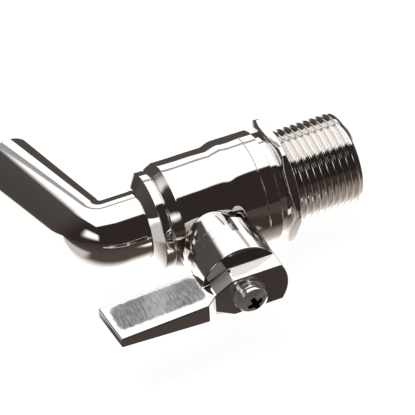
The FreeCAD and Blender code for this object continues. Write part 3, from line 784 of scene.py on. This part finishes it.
    def build(self) -> Object:
        """Build the body as one piece.

        Returns:
            The piece.
        """
        mesh = turned_mesh(self.profile(), Axis.INLET, FINE)
        for extra in (self.boss_mesh(), self.lug_mesh()):
            absorb(mesh, extra)
        obj = new_object("valve_body_polished", mesh, CAST_POLISHED, BODY)
        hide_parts("valve_body")
        return obj


@dataclass
class InletConnector:
    """Collar, waist, hexagon and threaded inlet, one turned piece. Sizes in millimetres."""

    collar: float = 12.0
    collar_from: float = 4.3
    neck: float = 10.8
    hex_thickness: float = 2.4
    hex_flat: float = 12.0
    hex_turned: float = 13.3
    hex_clock: float = 5.0
    bevel_start: float = 11.75
    hex_edge: float = 0.34
    hex_chamfer: float = 27.0
    major: float = 10.0
    minor: float = 9.08
    pitch: float = 1.5
    thread_start: float = -0.2
    thread_end: float = 15.5
    thread_turns: int = 13
    lead: float = 1.05
    bore: float = 6.5
    flow: float = 4.6
    spigot: float = 9.4
    inner_end: float = 12.7

    def hub_mesh(self) -> Solid:
        """Spigot, collar, waist and the bore, without the thread.

        Returns:
            The turned shape.
        """
        corners = [
            (self.flow, -self.inner_end, 0.0), (self.spigot, -self.inner_end, 0.0),
            (self.spigot, -JOINT_STATION, 0.0), (self.collar, -(JOINT_STATION - 0.02), 0.18),
            (self.collar, -self.collar_from, 0.3), (self.neck, -(self.collar_from - 0.25), 0.3),
            (self.neck, -(self.hex_thickness - 0.05), 0.0), (self.neck, -0.3, 0.0), (self.minor - 0.3, -0.3, 0.0),
            (self.bore, -0.3, 0.0), (self.bore, -JOINT_STATION, 0.0), (self.flow, -(JOINT_STATION + 1.2), 0.0),
        ]
        return turned_mesh(round_corners(corners, 4), Axis.INLET, FINE)

    def hex_mesh(self) -> Solid:
        """Hexagon whose corners are turned down, with chamfered and softened edges.

        Returns:
            The hexagon, open inside.
        """
        inner, end, steps = self.neck - 1.2, self.hex_thickness, 360
        mesh = bmesh.new()
        loops = []
        for step in range(steps):
            angle = math.tau * step / steps
            from_flat = (math.degrees(angle) - self.hex_clock) % 60.0 - 30.0
            reach = min(self.hex_flat / math.cos(math.radians(from_flat)), self.hex_turned)
            start = min(self.bevel_start, reach - self.hex_edge)
            fall = max((reach - self.bevel_start) * math.tan(math.radians(self.hex_chamfer)), self.hex_edge)
            outline = round_corners([(inner, 0.0, 0.0), (start, 0.0, 0.3), (reach, -fall, 0.3),
                                     (reach, -(end - fall), 0.3), (start, -end, 0.3), (inner, -end, 0.0)], 4)
            loops.append([mesh.verts.new((-r * math.sin(angle), y, r * math.cos(angle))) for r, y in outline])
        for step in range(steps):
            near, far = loops[step - 1], loops[step]
            for i in range(len(near)):
                mesh.faces.new((near[i - 1], near[i], far[i], far[i - 1]))
        return mesh

    def thread_mesh(self) -> Solid:
        """Helical M20 turns, cut square at the hexagon and turned down at the end, with the bore inside.

        Returns:
            The threaded wall.
        """
        turns, facets, half = self.thread_turns, 120, self.pitch / 2
        mesh = bmesh.new()
        tooth = [(self.minor, -half), (self.minor + 0.06, -half + 0.14), (self.major - 0.05, -0.16),
                 (self.major, -0.07), (self.major, 0.07), (self.major - 0.05, 0.16),
                 (self.minor + 0.06, half - 0.14), (self.minor, half)]
        verts = [mesh.verts.new((r, y - 2.2, 0.0)) for r, y in tooth]
        edges = [mesh.edges.new(pair) for pair in zip(verts, verts[1:])]
        bmesh.ops.spin(mesh, geom=verts + edges, cent=(0, 0, 0), axis=(0, 1, 0),
                       dvec=(0, self.pitch / facets, 0), angle=math.tau * turns, steps=facets * turns,
                       use_merge=False, use_duplicate=False)
        bmesh.ops.remove_doubles(mesh, verts=mesh.verts, dist=0.002)
        for height, normal in ((self.thread_start, (0, -1, 0)), (self.thread_end, (0, 1, 0))):
            bmesh.ops.bisect_plane(mesh, geom=mesh.verts[:] + mesh.edges[:] + mesh.faces[:],
                                   plane_co=(0, height, 0), plane_no=normal, clear_outer=True)
        for vert in mesh.verts:
            limit = self.major - max(vert.co.y - (self.thread_end - self.lead), 0.0)
            if math.hypot(vert.co.x, vert.co.z) > limit:
                set_radius(vert, limit)
        self.close_ends(mesh)
        return mesh

    def close_ends(self, mesh: Solid) -> None:
        """Carry the thread's open ends in to the bore and close the wall there.

        Args:
            mesh: the threaded wall.
        """
        rims = []
        for height in (self.thread_start, self.thread_end):
            rim = [e for e in mesh.edges if e.is_boundary and all(abs(v.co.y - height) < 0.01 for v in e.verts)]
            grown = bmesh.ops.extrude_edge_only(mesh, edges=rim)["geom"]
            for vert in (g for g in grown if isinstance(g, Vert)):
                set_radius(vert, self.bore)
            rims.append([g for g in grown if isinstance(g, bmesh.types.BMEdge) and g.is_boundary])
        bmesh.ops.bridge_loops(mesh, edges=rims[0] + rims[1])

    def build(self) -> list[Object]:
        """Build the hub with its hexagon, and the thread.

        Returns:
            The two pieces.
        """
        mesh = self.hub_mesh()
        absorb(mesh, self.hex_mesh())
        hub = new_object("inlet_connector_polished", mesh, POLISHED, BODY)
        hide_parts("inlet_connector")
        thread = new_object("inlet_thread_turns", self.thread_mesh(), THREAD_FINISH, BODY, 20.0)
        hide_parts("inlet_connector")
        return [hub, thread]


@dataclass
class SpoutTube:
    """Bent spout tube. Sizes in millimetres."""

    radius: float = 7.25
    wall: float = 1.0
    socket_floor: float = 27.85
    bend: float = 41.57
    bend_radius: float = 7.55
    angle: float = 73.65
    length: float = 30.5
    tightness: float = 1.9
    bend_steps: int = 36
    facets: int = 144

    def rounding(self, radius: float, angle: float) -> float:
        """How tightly one line along the tube turns.

        Args:
            radius: the skin's radius.
            angle: place round the tube; 0 degrees is the bend's inner side, 180 its outer side.

        Returns:
            The line's radius in the bend.
        """
        inner = self.bend_radius - self.radius
        outer = self.bend_radius + radius
        share = (1 - math.cos(math.radians(angle))) / 2
        return inner + (outer - inner) * share ** self.tightness

    def line(self, radius: float, angle: float) -> list[Triple]:
        """Draw one line along the tube.

        Args:
            radius: the skin's radius.
            angle: place round the tube, in degrees.

        Returns:
            Points from the socket round the bend to the end.
        """
        turn = math.radians(self.angle)
        inward = radius * math.cos(math.radians(angle))
        across = radius * math.sin(math.radians(angle))
        rounding = self.rounding(radius, angle)
        first, second = Vector((-1.0, 0.0)), Vector((-math.cos(turn), -math.sin(turn)))
        corner = Vector((-self.bend, 0.0)) + Vector((inward * math.tan(turn / 2), -inward))
        middle = corner - first * rounding * math.tan(turn / 2) + Vector((0.0, -rounding))
        end = Vector((-self.bend, 0.0)) + second * self.length
        end += Vector((math.sin(turn), -math.cos(turn))) * inward
        points = [Vector((-self.socket_floor, -inward))]
        for step in range(self.bend_steps + 1):
            swing = math.pi / 2 + turn * step / self.bend_steps
            points.append(middle + Vector((math.cos(swing), math.sin(swing))) * rounding)
        points.append(end)
        return [(across, point.x, point.y) for point in points]

    def skin(self, mesh: Solid, radius: float) -> list[list[Vert]]:
        """Add one open sleeve.

        Args:
            mesh: the bmesh that takes it.
            radius: its radius.

        Returns:
            Its rings from the socket to the end.
        """
        lines = [[mesh.verts.new(point) for point in self.line(radius, 360 * i / self.facets)]
                 for i in range(self.facets)]
        rings = [list(ring) for ring in zip(*lines)]
        for near, far in zip(rings, rings[1:]):
            for i in range(self.facets):
                mesh.faces.new((near[i], near[i - 1], far[i - 1], far[i]))
        return rings

    def build(self) -> Object:
        """Build the tube with its wall and its rounded end.

        Returns:
            The piece.
        """
        mesh = bmesh.new()
        outer, inner = self.skin(mesh, self.radius), self.skin(mesh, self.radius - self.wall)
        for side in (0, -1):
            for i in range(self.facets):
                mesh.faces.new((outer[side][i], outer[side][i - 1], inner[side][i - 1], inner[side][i]))
        mesh.normal_update()
        tips = {vert for ring in (outer[-1], inner[-1]) for vert in ring}
        rims = [e for e in mesh.edges if all(v in tips for v in e.verts) and e.calc_face_angle(0.0) > 0.5]
        bmesh.ops.bevel(mesh, geom=rims, offset=0.3, segments=4, affect="EDGES", profile=0.5, material=-1)
        obj = new_object("spout_tube_polished", mesh, POLISHED, BODY)
        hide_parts("spout_tube")
        return obj


@dataclass
class Handle:
    """Lever of one casting. Heights count from the body axis, all in millimetres."""

    hub: float = 8.75
    band: float = 8.15
    foot: float = 16.2
    band_top: float = 19.1
    front_foot: float = 25.2
    front: float = 28.8
    skirt_drop: float = 1.3
    skirt_wall: float = 2.3
    skirt_start: float = -15.0
    skirt_end: float = 165.0
    half_width: float = 4.75
    neck_start: float = 2.95
    neck_end: float = 7.1
    root_half: float = 2.225
    tip_half: float = 1.1
    tip: float = 28.0
    slant: float = 0.9
    root_front: float = 1.9
    tip_front: float = 1.85
    root_back: float = 7.7
    tip_back: float = 8.35
    ramp: float = 2.3
    socket_half: float = 2.5
    draft: float = 0.0875

    def hub_mesh(self) -> Solid:
        """Full round of the hub from the skirt's foot to the front."""
        return plug(self.hub, self.foot - self.skirt_drop, self.front, 180)

    def hollow_mesh(self) -> Solid:
        """Room inside the skirt."""
        return plug(self.hub - self.skirt_wall, self.foot - self.skirt_drop - 1.0, self.foot, 144)

    def band_mesh(self) -> Solid:
        """What is cut away beside the skirt, which leaves the stepped-in band.

        Returns:
            The solid to cut off.
        """
        low, inner, outer = self.foot - self.skirt_drop - 1.0, self.hub - self.skirt_wall - 1.5, self.hub + 1.0
        outline = [(inner, low), (outer, low), (outer, self.band_top), (self.band, self.band_top),
                   (self.band, self.foot), (inner, self.foot)]
        return swept_mesh(outline, self.skirt_end, 360.0 + self.skirt_start - self.skirt_end)

    def side_mesh(self, side: int) -> Solid:
        """What is cut away beside the front: its flat and the slope down to the paddle.

        Args:
            side: -1 or 1.

        Returns:
            The solid to cut off.
        """
        past = 12.0
        corners = [(self.half_width, past), (self.half_width, -self.neck_start), (self.root_half, -self.neck_end),
                   (self.root_half, -past), (past, -past), (past, past)]
        mesh = prism([(side * x, y) for x, y in corners], self.front_foot, self.front + 1.0)
        middle = (self.front_foot + self.front) / 2
        slope = (self.neck_end - self.neck_start) / (self.half_width - self.root_half)
        for vert in mesh.verts:
            if abs(abs(vert.co.x) - self.half_width) < 0.001:
                widened = self.draft * (middle - vert.co.z)
                vert.co.x += side * widened
                if vert.co.y < -STEM_STATION:
                    vert.co.y += slope * widened
        return mesh

    def paddle_mesh(self) -> Solid:
        """Paddle that tapers to a slanted tip, with its front cut back at the hub.

        Returns:
            The paddle's solid.
        """
        end = self.tip + self.slant
        mesh = bmesh.new()
        bmesh.ops.create_cube(mesh, size=1.0)
        for vert in mesh.verts:
            is_tip, is_high = vert.co.y < 0, vert.co.z > 0
            station = self.neck_end - self.ramp
            if is_tip:
                station = self.tip if is_high else end
            share = (station - self.hub) / (end - self.hub)
            half = self.root_half + (self.tip_half - self.root_half) * share
            high = self.front + self.root_front + (self.tip_front - self.root_front) * share
            low = self.front - self.root_back - (self.tip_back - self.root_back) * share
            vert.co = (math.copysign(half, vert.co.x), -station - STEM_STATION, high if is_high else low)
        return mesh

    def relief_mesh(self) -> Solid:
        """What is cut off above the hub's front, with the ramp up to the paddle.

        Returns:
            The solid to cut off.
        """
        rise, past, aside = self.root_front + 1.0, 12.0, 9.0
        run = self.ramp * rise / self.root_front
        side = [(past, self.front), (-self.neck_end, self.front), (-(self.neck_end + run), self.front + rise),
                (past, self.front + rise)]
        mesh = bmesh.new()
        extruded(mesh, [(-aside, y - STEM_STATION, z) for y, z in side], (2 * aside, 0, 0))
        return mesh

    def build(self) -> Object:
        """Join hub, skirt, front and paddle, cut the socket and round the edges.

        Returns:
            The piece.
        """
        half = self.socket_half
        socket = prism([(-half, -half), (half, -half), (half, half), (-half, half)], self.foot - 3.0, 25.0)
        before = [self.hollow_mesh(), self.band_mesh(), self.side_mesh(-1), self.side_mesh(1)]
        after = [self.relief_mesh(), socket, plug(1.6, 24.0, 31.0, 48)]
        mesh = combined(self.hub_mesh(), [(Work.CUT, cut) for cut in before] + [(Work.JOIN, self.paddle_mesh())]
                        + [(Work.CUT, cut) for cut in after], 0.28, 24.0, 4)
        obj = new_object("handle_plated", mesh, HANDLE_FINISH, LEVER, 26.0)
        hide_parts("handle")
        return obj


@dataclass
class HandleScrew:
    """Pan-head screw with its two washers. Heights count from the body axis, all in millimetres."""

    base: float = 28.8
    flat_thickness: float = 0.5
    lock_thickness: float = 0.8
    hole: float = 1.6
    flat_radius: float = 3.5
    lock_radius: float = 2.95
    lock_start: float = 96.0
    lock_sweep: float = 348.0
    lock_climb: float = 0.0006
    head: float = 3.05
    head_side: float = 1.1
    head_height: float = 2.2
    wing: float = 0.55
    reach: float = 1.75
    depth: float = 1.5
    taper: float = 0.8
    cross_turn: float = 20.0

    def flat_washer(self) -> Object:
        """Plain punched washer.

        Returns:
            The piece.
        """
        top = self.base + self.flat_thickness
        outline = round_corners([(self.hole, self.base, 0.05), (self.flat_radius, self.base, 0.08),
                                 (self.flat_radius, top, 0.12), (self.hole, top, 0.05)], 3)
        obj = new_object("flat_washer_chromed", turned_mesh(outline, Axis.STEM, 96), SMALL_PARTS, LEVER)
        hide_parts("flat_washer")
        return obj

    def lock_washer(self) -> Object:
        """Split spring washer, squeezed nearly flat.

        Returns:
            The piece.
        """
        low = self.base + self.flat_thickness
        outline = round_corners([(self.hole, low + 0.02, 0.08), (self.lock_radius, low + 0.02, 0.12),
                                 (self.lock_radius, low + self.lock_thickness - 0.08, 0.12),
                                 (self.hole, low + self.lock_thickness - 0.08, 0.08)], 3)
        mesh = swept_mesh(outline, self.lock_start, self.lock_sweep, self.lock_climb)
        obj = new_object("lock_washer_chromed", mesh, SMALL_PARTS, LEVER)
        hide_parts("lock_washer")
        return obj

    def screw(self) -> Object:
        """Domed head with a tapered cross recess, and the shank.

        Returns:
            The piece.
        """
        low = self.base + self.flat_thickness + self.lock_thickness
        side, top = low + self.head_side, low + self.head_height
        crown = self.head_height - self.head_side
        radius = (self.head ** 2 + crown ** 2) / (2 * crown)
        sweep = math.degrees(math.asin(self.head / radius))
        dome = arc_points((0.0, top - radius), radius, 90 - sweep, 90, 14)
        outline = [(0.0, low - 10.0), (1.3, low - 10.0), (1.5, low - 9.8), (1.5, low), (self.head - 0.12, low),
                   (self.head, low + 0.12)] + [(r, z) for r, z in dome[:-1]] + [(0.0, top)]
        head = turned_mesh(outline, Axis.STEM, 96, closed=False)
        cross = bmesh.new()
        w, r = self.wing, self.reach
        corners = [(w, w), (w, r), (-w, r), (-w, w), (-r, w), (-r, -w), (-w, -w), (-w, -r), (w, -r), (w, -w),
                   (r, -w), (r, w)]
        for vert in extruded(cross, [(x, y - STEM_STATION, top + 0.3) for x, y in corners], (0, 0, -1)):
            x, y = vert.co.x * self.taper, (vert.co.y + STEM_STATION) * self.taper
            vert.co = (x, y - STEM_STATION, top - self.depth)
        turn = Matrix.Rotation(math.radians(self.cross_turn), 3, "Z")
        bmesh.ops.rotate(cross, verts=cross.verts, cent=(0, -STEM_STATION, 0), matrix=turn)
        mesh = combined(head, [(Work.CUT, cross)], 0.05, 30.0, 2)
        obj = new_object("handle_screw_chromed", mesh, SMALL_PARTS, LEVER, 35.0)
        # Faces inside the cross recess get the darker finish, which is painted shade
        obj.data.materials.append(RECESS_SHADE.material())
        for face in obj.data.polygons:
            across = math.hypot(face.center.x, face.center.y + STEM_STATION * MM) / MM
            surface = top - radius + math.sqrt(radius ** 2 - min(across, radius) ** 2)
            if across < self.reach + 0.2 and surface - 1.7 < face.center.z / MM < surface - 0.06:
                face.material_index = 1
        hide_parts("handle_screw")
        return obj

    def build(self) -> list[Object]:
        """Build the screw and its washers.

        Returns:
            The three pieces.
        """
        pieces = [self.flat_washer(), self.lock_washer(), self.screw()]
        return pieces


@dataclass
class HiddenParts:
    """The solids inside the valve, which keep their own shapes and get their finishes."""

    turned: tuple[str, ...] = ("ball", "stem")
    white: tuple[str, ...] = ("inlet_seat", "outlet_seat", "thrust_washer")
    black: tuple[str, ...] = ("body_o_ring", "lower_stem_o_ring", "upper_stem_o_ring")

    def dress(self) -> None:
        """Give each inner solid its real finish."""
        for names, finish in ((self.turned, TURNED), (self.white, SEAT_WHITE), (self.black, SEAL_BLACK)):
            for name in names:
                use(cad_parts[name], finish)


# Studio

UP = Vector((-1.0, 0.0, 0.0))
FRONT = Vector((0.0, 0.0, 1.0))
ALONG = Vector((0.0, 1.0, 0.0))


def sheet_data(name: str, half: float, turn: Matrix | None = None,
               move: Triple = (0.0, 0.0, 0.0)) -> bpy.types.Mesh:
    """Square sheet, turned and then moved.

    Args:
        name: the mesh's name.
        half: half its size, in metres.
        turn: its turn, or none.
        move: how far it is moved, in metres.

    Returns:
        The sheet's mesh data.
    """
    mesh = bmesh.new()
    bmesh.ops.create_grid(mesh, x_segments=1, y_segments=1, size=half)
    bmesh.ops.rotate(mesh, verts=mesh.verts, cent=(0, 0, 0), matrix=turn or Matrix.Identity(3))
    bmesh.ops.translate(mesh, verts=mesh.verts, vec=move)
    return mesh_data(name, mesh)


@dataclass(frozen=True)
class Edge:
    """One soft straight edge of a panel, from one point to another with the panel on its left.

    Attributes:
        start: first point, in millimetres on the panel.
        end: second point.
        soft: how far the light takes to fade across the edge, in millimetres.
    """

    start: Pair
    end: Pair
    soft: float


@dataclass(frozen=True)
class Panel:
    """A soft-edged light panel of the studio, which only polished surfaces mirror.

    Attributes:
        name: what it is.
        centre: its middle, in millimetres.
        right: direction of its first coordinate.
        above: direction of its second coordinate.
        edges: edges that bound its lit area.
        strength: brightness.
        colour: sRGB hex colour.
        inner: it fills inner corners only, which mirror it by way of a second surface.
        reach: half the size of its sheet, in millimetres.
    """

    name: str
    centre: Triple
    right: Vector
    above: Vector
    edges: tuple[Edge, ...]
    strength: float
    colour: str = "FFFFFF"
    inner: bool = False
    reach: float = 600.0

    def lit(self, tree: Tree) -> Socket:
        """Find the lit area.

        Args:
            tree: the panel's material tree.

        Returns:
            How much of the panel is lit at each place, from 0 to 1.
        """
        place = add_node(tree, "ShaderNodeTexCoord").outputs["Object"]
        mask: float | Socket = 1.0
        for edge in self.edges:
            start, end = Vector(edge.start), Vector(edge.end)
            way = (end - start).normalized()
            inward = Vector((-way.y, way.x, 0.0))
            depth = add_node(tree, "ShaderNodeVectorMath", {0: place, 1: inward}, operation="DOT_PRODUCT")
            foot, half = start.dot(inward.xy) * MM, edge.soft * MM / 2
            mask = maths(tree, "MULTIPLY", mask, fade(tree, depth.outputs["Value"], foot - half, foot + half))
        return mask

    def material(self) -> bpy.types.Material:
        """Glow inside the edges, nothing outside them.

        Returns:
            The panel's material.
        """
        made = bpy.data.materials.new(self.name)
        tree = bare_tree(made)
        glow = add_node(tree, "ShaderNodeEmission", {"Color": linear(self.colour), "Strength": self.strength})
        clear = add_node(tree, "ShaderNodeBsdfTransparent")
        share = self.lit(tree)
        if self.inner:
            depth = add_node(tree, "ShaderNodeLightPath").outputs["Glossy Depth"]
            share = maths(tree, "MULTIPLY", share, maths(tree, "GREATER_THAN", depth, SECOND_MIRROR))
        add_node(tree, "ShaderNodeOutputMaterial", {"Surface": mixed_shader(tree, share, clear, glow).outputs[0]})
        return made

    def build(self) -> Object:
        """Hang the panel.

        Returns:
            The panel's object.
        """
        obj = placed(self.name, sheet_data(self.name, self.reach * MM))
        turn = Matrix((self.right, self.above, self.right.cross(self.above))).transposed().to_4x4()
        obj.matrix_world = Matrix.Translation(Vector(self.centre) * MM) @ turn
        obj.data.materials.append(self.material())
        for role in ("camera", "diffuse", "shadow", "volume_scatter"):
            setattr(obj, "visible_" + role, False)
        return obj


def strip(low: float, high: float, soft: float, left: float = -900.0, right: float = 900.0) -> tuple[Edge, ...]:
    """Edges of a rectangle between two heights and two sides."""
    return (Edge((left, low), (right, low), soft), Edge((right, low), (right, high), soft),
            Edge((right, high), (left, high), soft), Edge((left, high), (left, low), soft))


@dataclass
class Studio:
    """Table, light panels, lamp, world and camera.

    Attributes:
        focal_px: the camera's focal length in picture elements.
        px_per_mm: the picture's scale at the stem axis.
        anchor_px: where the stem axis crosses the body axis in the picture.
        image_px: the picture's width.
        picture_right: direction of the picture's right side.
        toward: direction from the tap to the camera.
        table_mm: the table's top, along +X.
        table_half: half the table's size in metres.
        ceiling_mm: height of the panels above the table.
        wall_mm: distance of the panels at its sides.
        lamp_size: the lamp's sides in metres.
        lamp_power: its power in watts.
        lamp_distance: its distance from the origin in metres.
    """

    focal_px: float = 2500.0
    px_per_mm: float = 4.84
    anchor_px: Pair = (191.1, 207.2)
    image_px: float = 415.0
    picture_right: Triple = (0.0485, 0.9144, 0.4018)
    toward: Triple = (-0.6651, -0.2706, 0.6960)
    table_mm: float = 12.5
    table_half: float = 1.6
    ceiling_mm: float = 120.0
    wall_mm: float = 160.0
    lamp_size: Pair = (0.5, 0.35)
    lamp_power: float = 3.2
    lamp_distance: float = 0.6

    def camera(self) -> Object:
        """Place the camera at the photograph's viewing angle.

        Returns:
            The camera.
        """
        toward, right = Vector(self.toward).normalized(), Vector(self.picture_right)
        right = (right - toward * right.dot(toward)).normalized()
        up = toward.cross(right).normalized()
        aside, below = ((anchor - self.image_px / 2) / self.px_per_mm for anchor in self.anchor_px)
        target = Vector((0.0, -STEM_STATION, 0.0))
        eye = target + toward * (self.focal_px / self.px_per_mm) - right * aside + up * below
        data = bpy.data.cameras.new("camera")
        data.sensor_fit = "HORIZONTAL"
        data.sensor_width = 36.0
        data.lens = 36.0 * self.focal_px / self.image_px
        data.clip_start = 0.01
        data.clip_end = 20.0
        obj = placed("camera", data)
        obj.matrix_world = Matrix.Translation(eye * MM) @ Matrix((right, up, toward)).transposed().to_4x4()
        bpy.context.scene.camera = obj
        return obj

    def table(self) -> Object:
        """White table beyond the tap's +X side, seen from its top only.

        Returns:
            The table.
        """
        turn = Matrix.Rotation(math.radians(-90), 3, "Y")
        obj = placed("table", sheet_data("table", self.table_half, turn, (self.table_mm * MM, 0, 0)))
        obj.data.materials.append(self.table_material())
        return obj

    def mirrored_tone(self, tree: Tree) -> Socket:
        """Tone that polished metal mirrors: lit beneath the tap, dim further off.

        Args:
            tree: the paper's material tree.

        Returns:
            The colour.
        """
        split = add_node(tree, "ShaderNodeSeparateXYZ", {0: add_node(tree, "ShaderNodeTexCoord").outputs["Object"]})

        def ramp(axis: str, dark_mm: float, light_mm: float) -> Socket:
            """Rise along one axis, in millimetres."""
            return fade(tree, split.outputs[axis], dark_mm * MM, light_mm * MM)

        def tones(share: Socket, first: str, second: str) -> Socket:
            """Mix two sRGB hex colours."""
            return blend(tree, share, linear(first), linear(second))
        far = tones(ramp("Z", 60.0, 20.0), "4B4542", "5E5450")
        below_collar = tones(ramp("Z", 22.0, 10.0), "463E3A", "C9BFB8")
        below_thread = tones(ramp("Z", 46.0, 10.0), "58504B", "D8CFC8")
        inlet_side = blend(tree, ramp("Y", 3.0, 9.0), below_collar, below_thread)
        far = blend(tree, ramp("Y", -24.0, -12.0), far, inlet_side)
        behind = ramp("Z", -64.0, -46.0)
        # Past the spout's bend the pale zone begins 14 mm higher up
        under = maths(tree, "MULTIPLY_ADD", ramp("Y", -51.0, -66.0), -14.0 * MM, split.outputs["Z"])
        pale = fade(tree, under, 13.0 * MM, 3.0 * MM, 0.46)
        near = maths(tree, "MULTIPLY", maths(tree, "MAXIMUM", ramp("Z", 13.0, 3.0), pale), behind)
        # One more lit patch, at the height of the handle's hub
        lit = ramp("Z", 33.0, 30.0)
        for axis, dark, light in (("Z", 20.0, 24.0), ("Y", -29.0, -26.0), ("Y", -3.0, -7.0)):
            lit = maths(tree, "MULTIPLY", lit, ramp(axis, dark, light))
        far = blend(tree, behind, linear("5A5450"), far)
        return blend(tree, maths(tree, "MAXIMUM", near, lit), far, (1.6, 1.58, 1.56, 1.0))

    def table_material(self) -> bpy.types.Material:
        """Paper that is white to the camera and shows polished metal its mirrored tone.

        Returns:
            The paper's material.
        """
        made = bpy.data.materials.new("white_paper")
        tree = bare_tree(made)
        diffuse = add_node(tree, "ShaderNodeBsdfDiffuse", {"Color": linear("707070")})
        glow = add_node(tree, "ShaderNodeEmission", {"Color": linear("FFFFFF"), "Strength": 0.93})
        paper = add_node(tree, "ShaderNodeAddShader", {0: diffuse.outputs[0], 1: glow.outputs[0]})
        seen = add_node(tree, "ShaderNodeEmission", {"Color": self.mirrored_tone(tree), "Strength": 1.0})
        glossy = add_node(tree, "ShaderNodeLightPath").outputs["Is Glossy Ray"]
        below = add_node(tree, "ShaderNodeNewGeometry").outputs["Backfacing"]
        shown = mixed_shader(tree, below, mixed_shader(tree, glossy, paper, seen),
                             add_node(tree, "ShaderNodeBsdfTransparent"))
        add_node(tree, "ShaderNodeOutputMaterial", {"Surface": shown.outputs[0]})
        return made

    def panels(self) -> list[Panel]:
        """The soft box above the table and the lit cloths round it.

        Returns:
            The panels.
        """
        high, wall = self.ceiling_mm, self.wall_mm
        soft_box = (Edge((-80.0, 60.0), (-80.0, -20.0), 5.0), Edge((-84.0, -20.0), (-58.0, -130.0), 34.0),
                    Edge((-60.0, -170.0), (300.0, -170.0), 2.0), Edge((300.0, 4.0), (-80.0, 50.0), 10.0))
        return [
            Panel("soft_box", (-high, 0.0, 0.0), ALONG, FRONT, soft_box, 1.75),
            Panel("front_card", (4.0 - high, 0.0, 0.0), ALONG, FRONT, strip(78.0, 132.0, 6.0, 8.0, 48.0), 1.9,
                  inner=True),
            Panel("seam_of_the_cloth", (2.0 - high, 0.0, 0.0), ALONG, FRONT, strip(-160.0, -126.0, 12.0, -70.0), 0.86,
                  "C3C6CD"),
            Panel("back_cloth", (0.0, 0.0, -wall), -ALONG, UP, strip(54.0, 130.0, 10.0, -600.0, 28.0), 1.75),
            Panel("front_window", (0.0, -wall, 0.0), FRONT, UP, strip(58.0, 140.0, 44.0, 74.0, 200.0), 1.6),
            Panel("tank_side_cloth", (0.0, wall, 0.0), -FRONT, UP, strip(34.0, 170.0, 10.0, 18.0, 260.0), 1.6),
        ]

    def surroundings(self) -> None:
        """World: white to the camera, even for plain light, and a dark room for what polished metal mirrors."""
        world = bpy.data.worlds.new("studio")
        bpy.context.scene.world = world
        tree = bare_tree(world)
        way = add_node(tree, "ShaderNodeTexCoord").outputs["Generated"]
        height = add_node(tree, "ShaderNodeSeparateXYZ", {0: way}).outputs["Z"]
        room = blend(tree, fade(tree, height, 0.25, -0.6, ease=Ease.EVEN), linear("38312F"), linear("5C5653"))
        path = add_node(tree, "ShaderNodeLightPath")
        pure = linear("FFFFFF")
        seen, plain, white = (add_node(tree, "ShaderNodeBackground", {"Color": colour, "Strength": strength})
                              for colour, strength in ((room, 1.0), (pure, 0.35), (pure, 1.0)))
        lit = mixed_shader(tree, path.outputs["Is Glossy Ray"], plain, seen)
        full = mixed_shader(tree, path.outputs["Is Camera Ray"], lit, white)
        add_node(tree, "ShaderNodeOutputWorld", {"Surface": full.outputs[0]})

    def lamp(self) -> Object:
        """Large soft box above the table, which only plain surfaces see as a lamp.

        Returns:
            The lamp.
        """
        data = bpy.data.lights.new("lamp", "AREA")
        data.shape = "RECTANGLE"
        data.size, data.size_y = self.lamp_size
        data.energy = self.lamp_power
        obj = placed("lamp", data)
        way = (UP * 0.94 - FRONT * 0.30 - ALONG * 0.14).normalized()
        turn = way.to_track_quat("Z", "Y").to_matrix().to_4x4()
        obj.matrix_world = Matrix.Translation(way * self.lamp_distance) @ turn
        obj.visible_glossy = False
        return obj

    def build(self) -> None:
        """Set the stage and the view transform."""
        self.camera()
        self.table()
        for panel in self.panels():
            panel.build()
        self.surroundings()
        self.lamp()
        bpy.context.scene.view_settings.view_transform = "Standard"


def main() -> None:
    """Build every sub-assembly in order, then the stage."""
    logging.basicConfig(level=logging.INFO, format="%(name)s: %(message)s")
    pieces: list[Object] = [ValveBody().build()]
    pieces += InletConnector().build()
    pieces += [SpoutTube().build(), Handle().build()]
    pieces += HandleScrew().build()
    HiddenParts().dress()
    Studio().build()
    for piece in pieces:
        LOG.info("%s: %d faces", piece.name, len(piece.data.polygons))


if __name__ == "__main__":
    main()
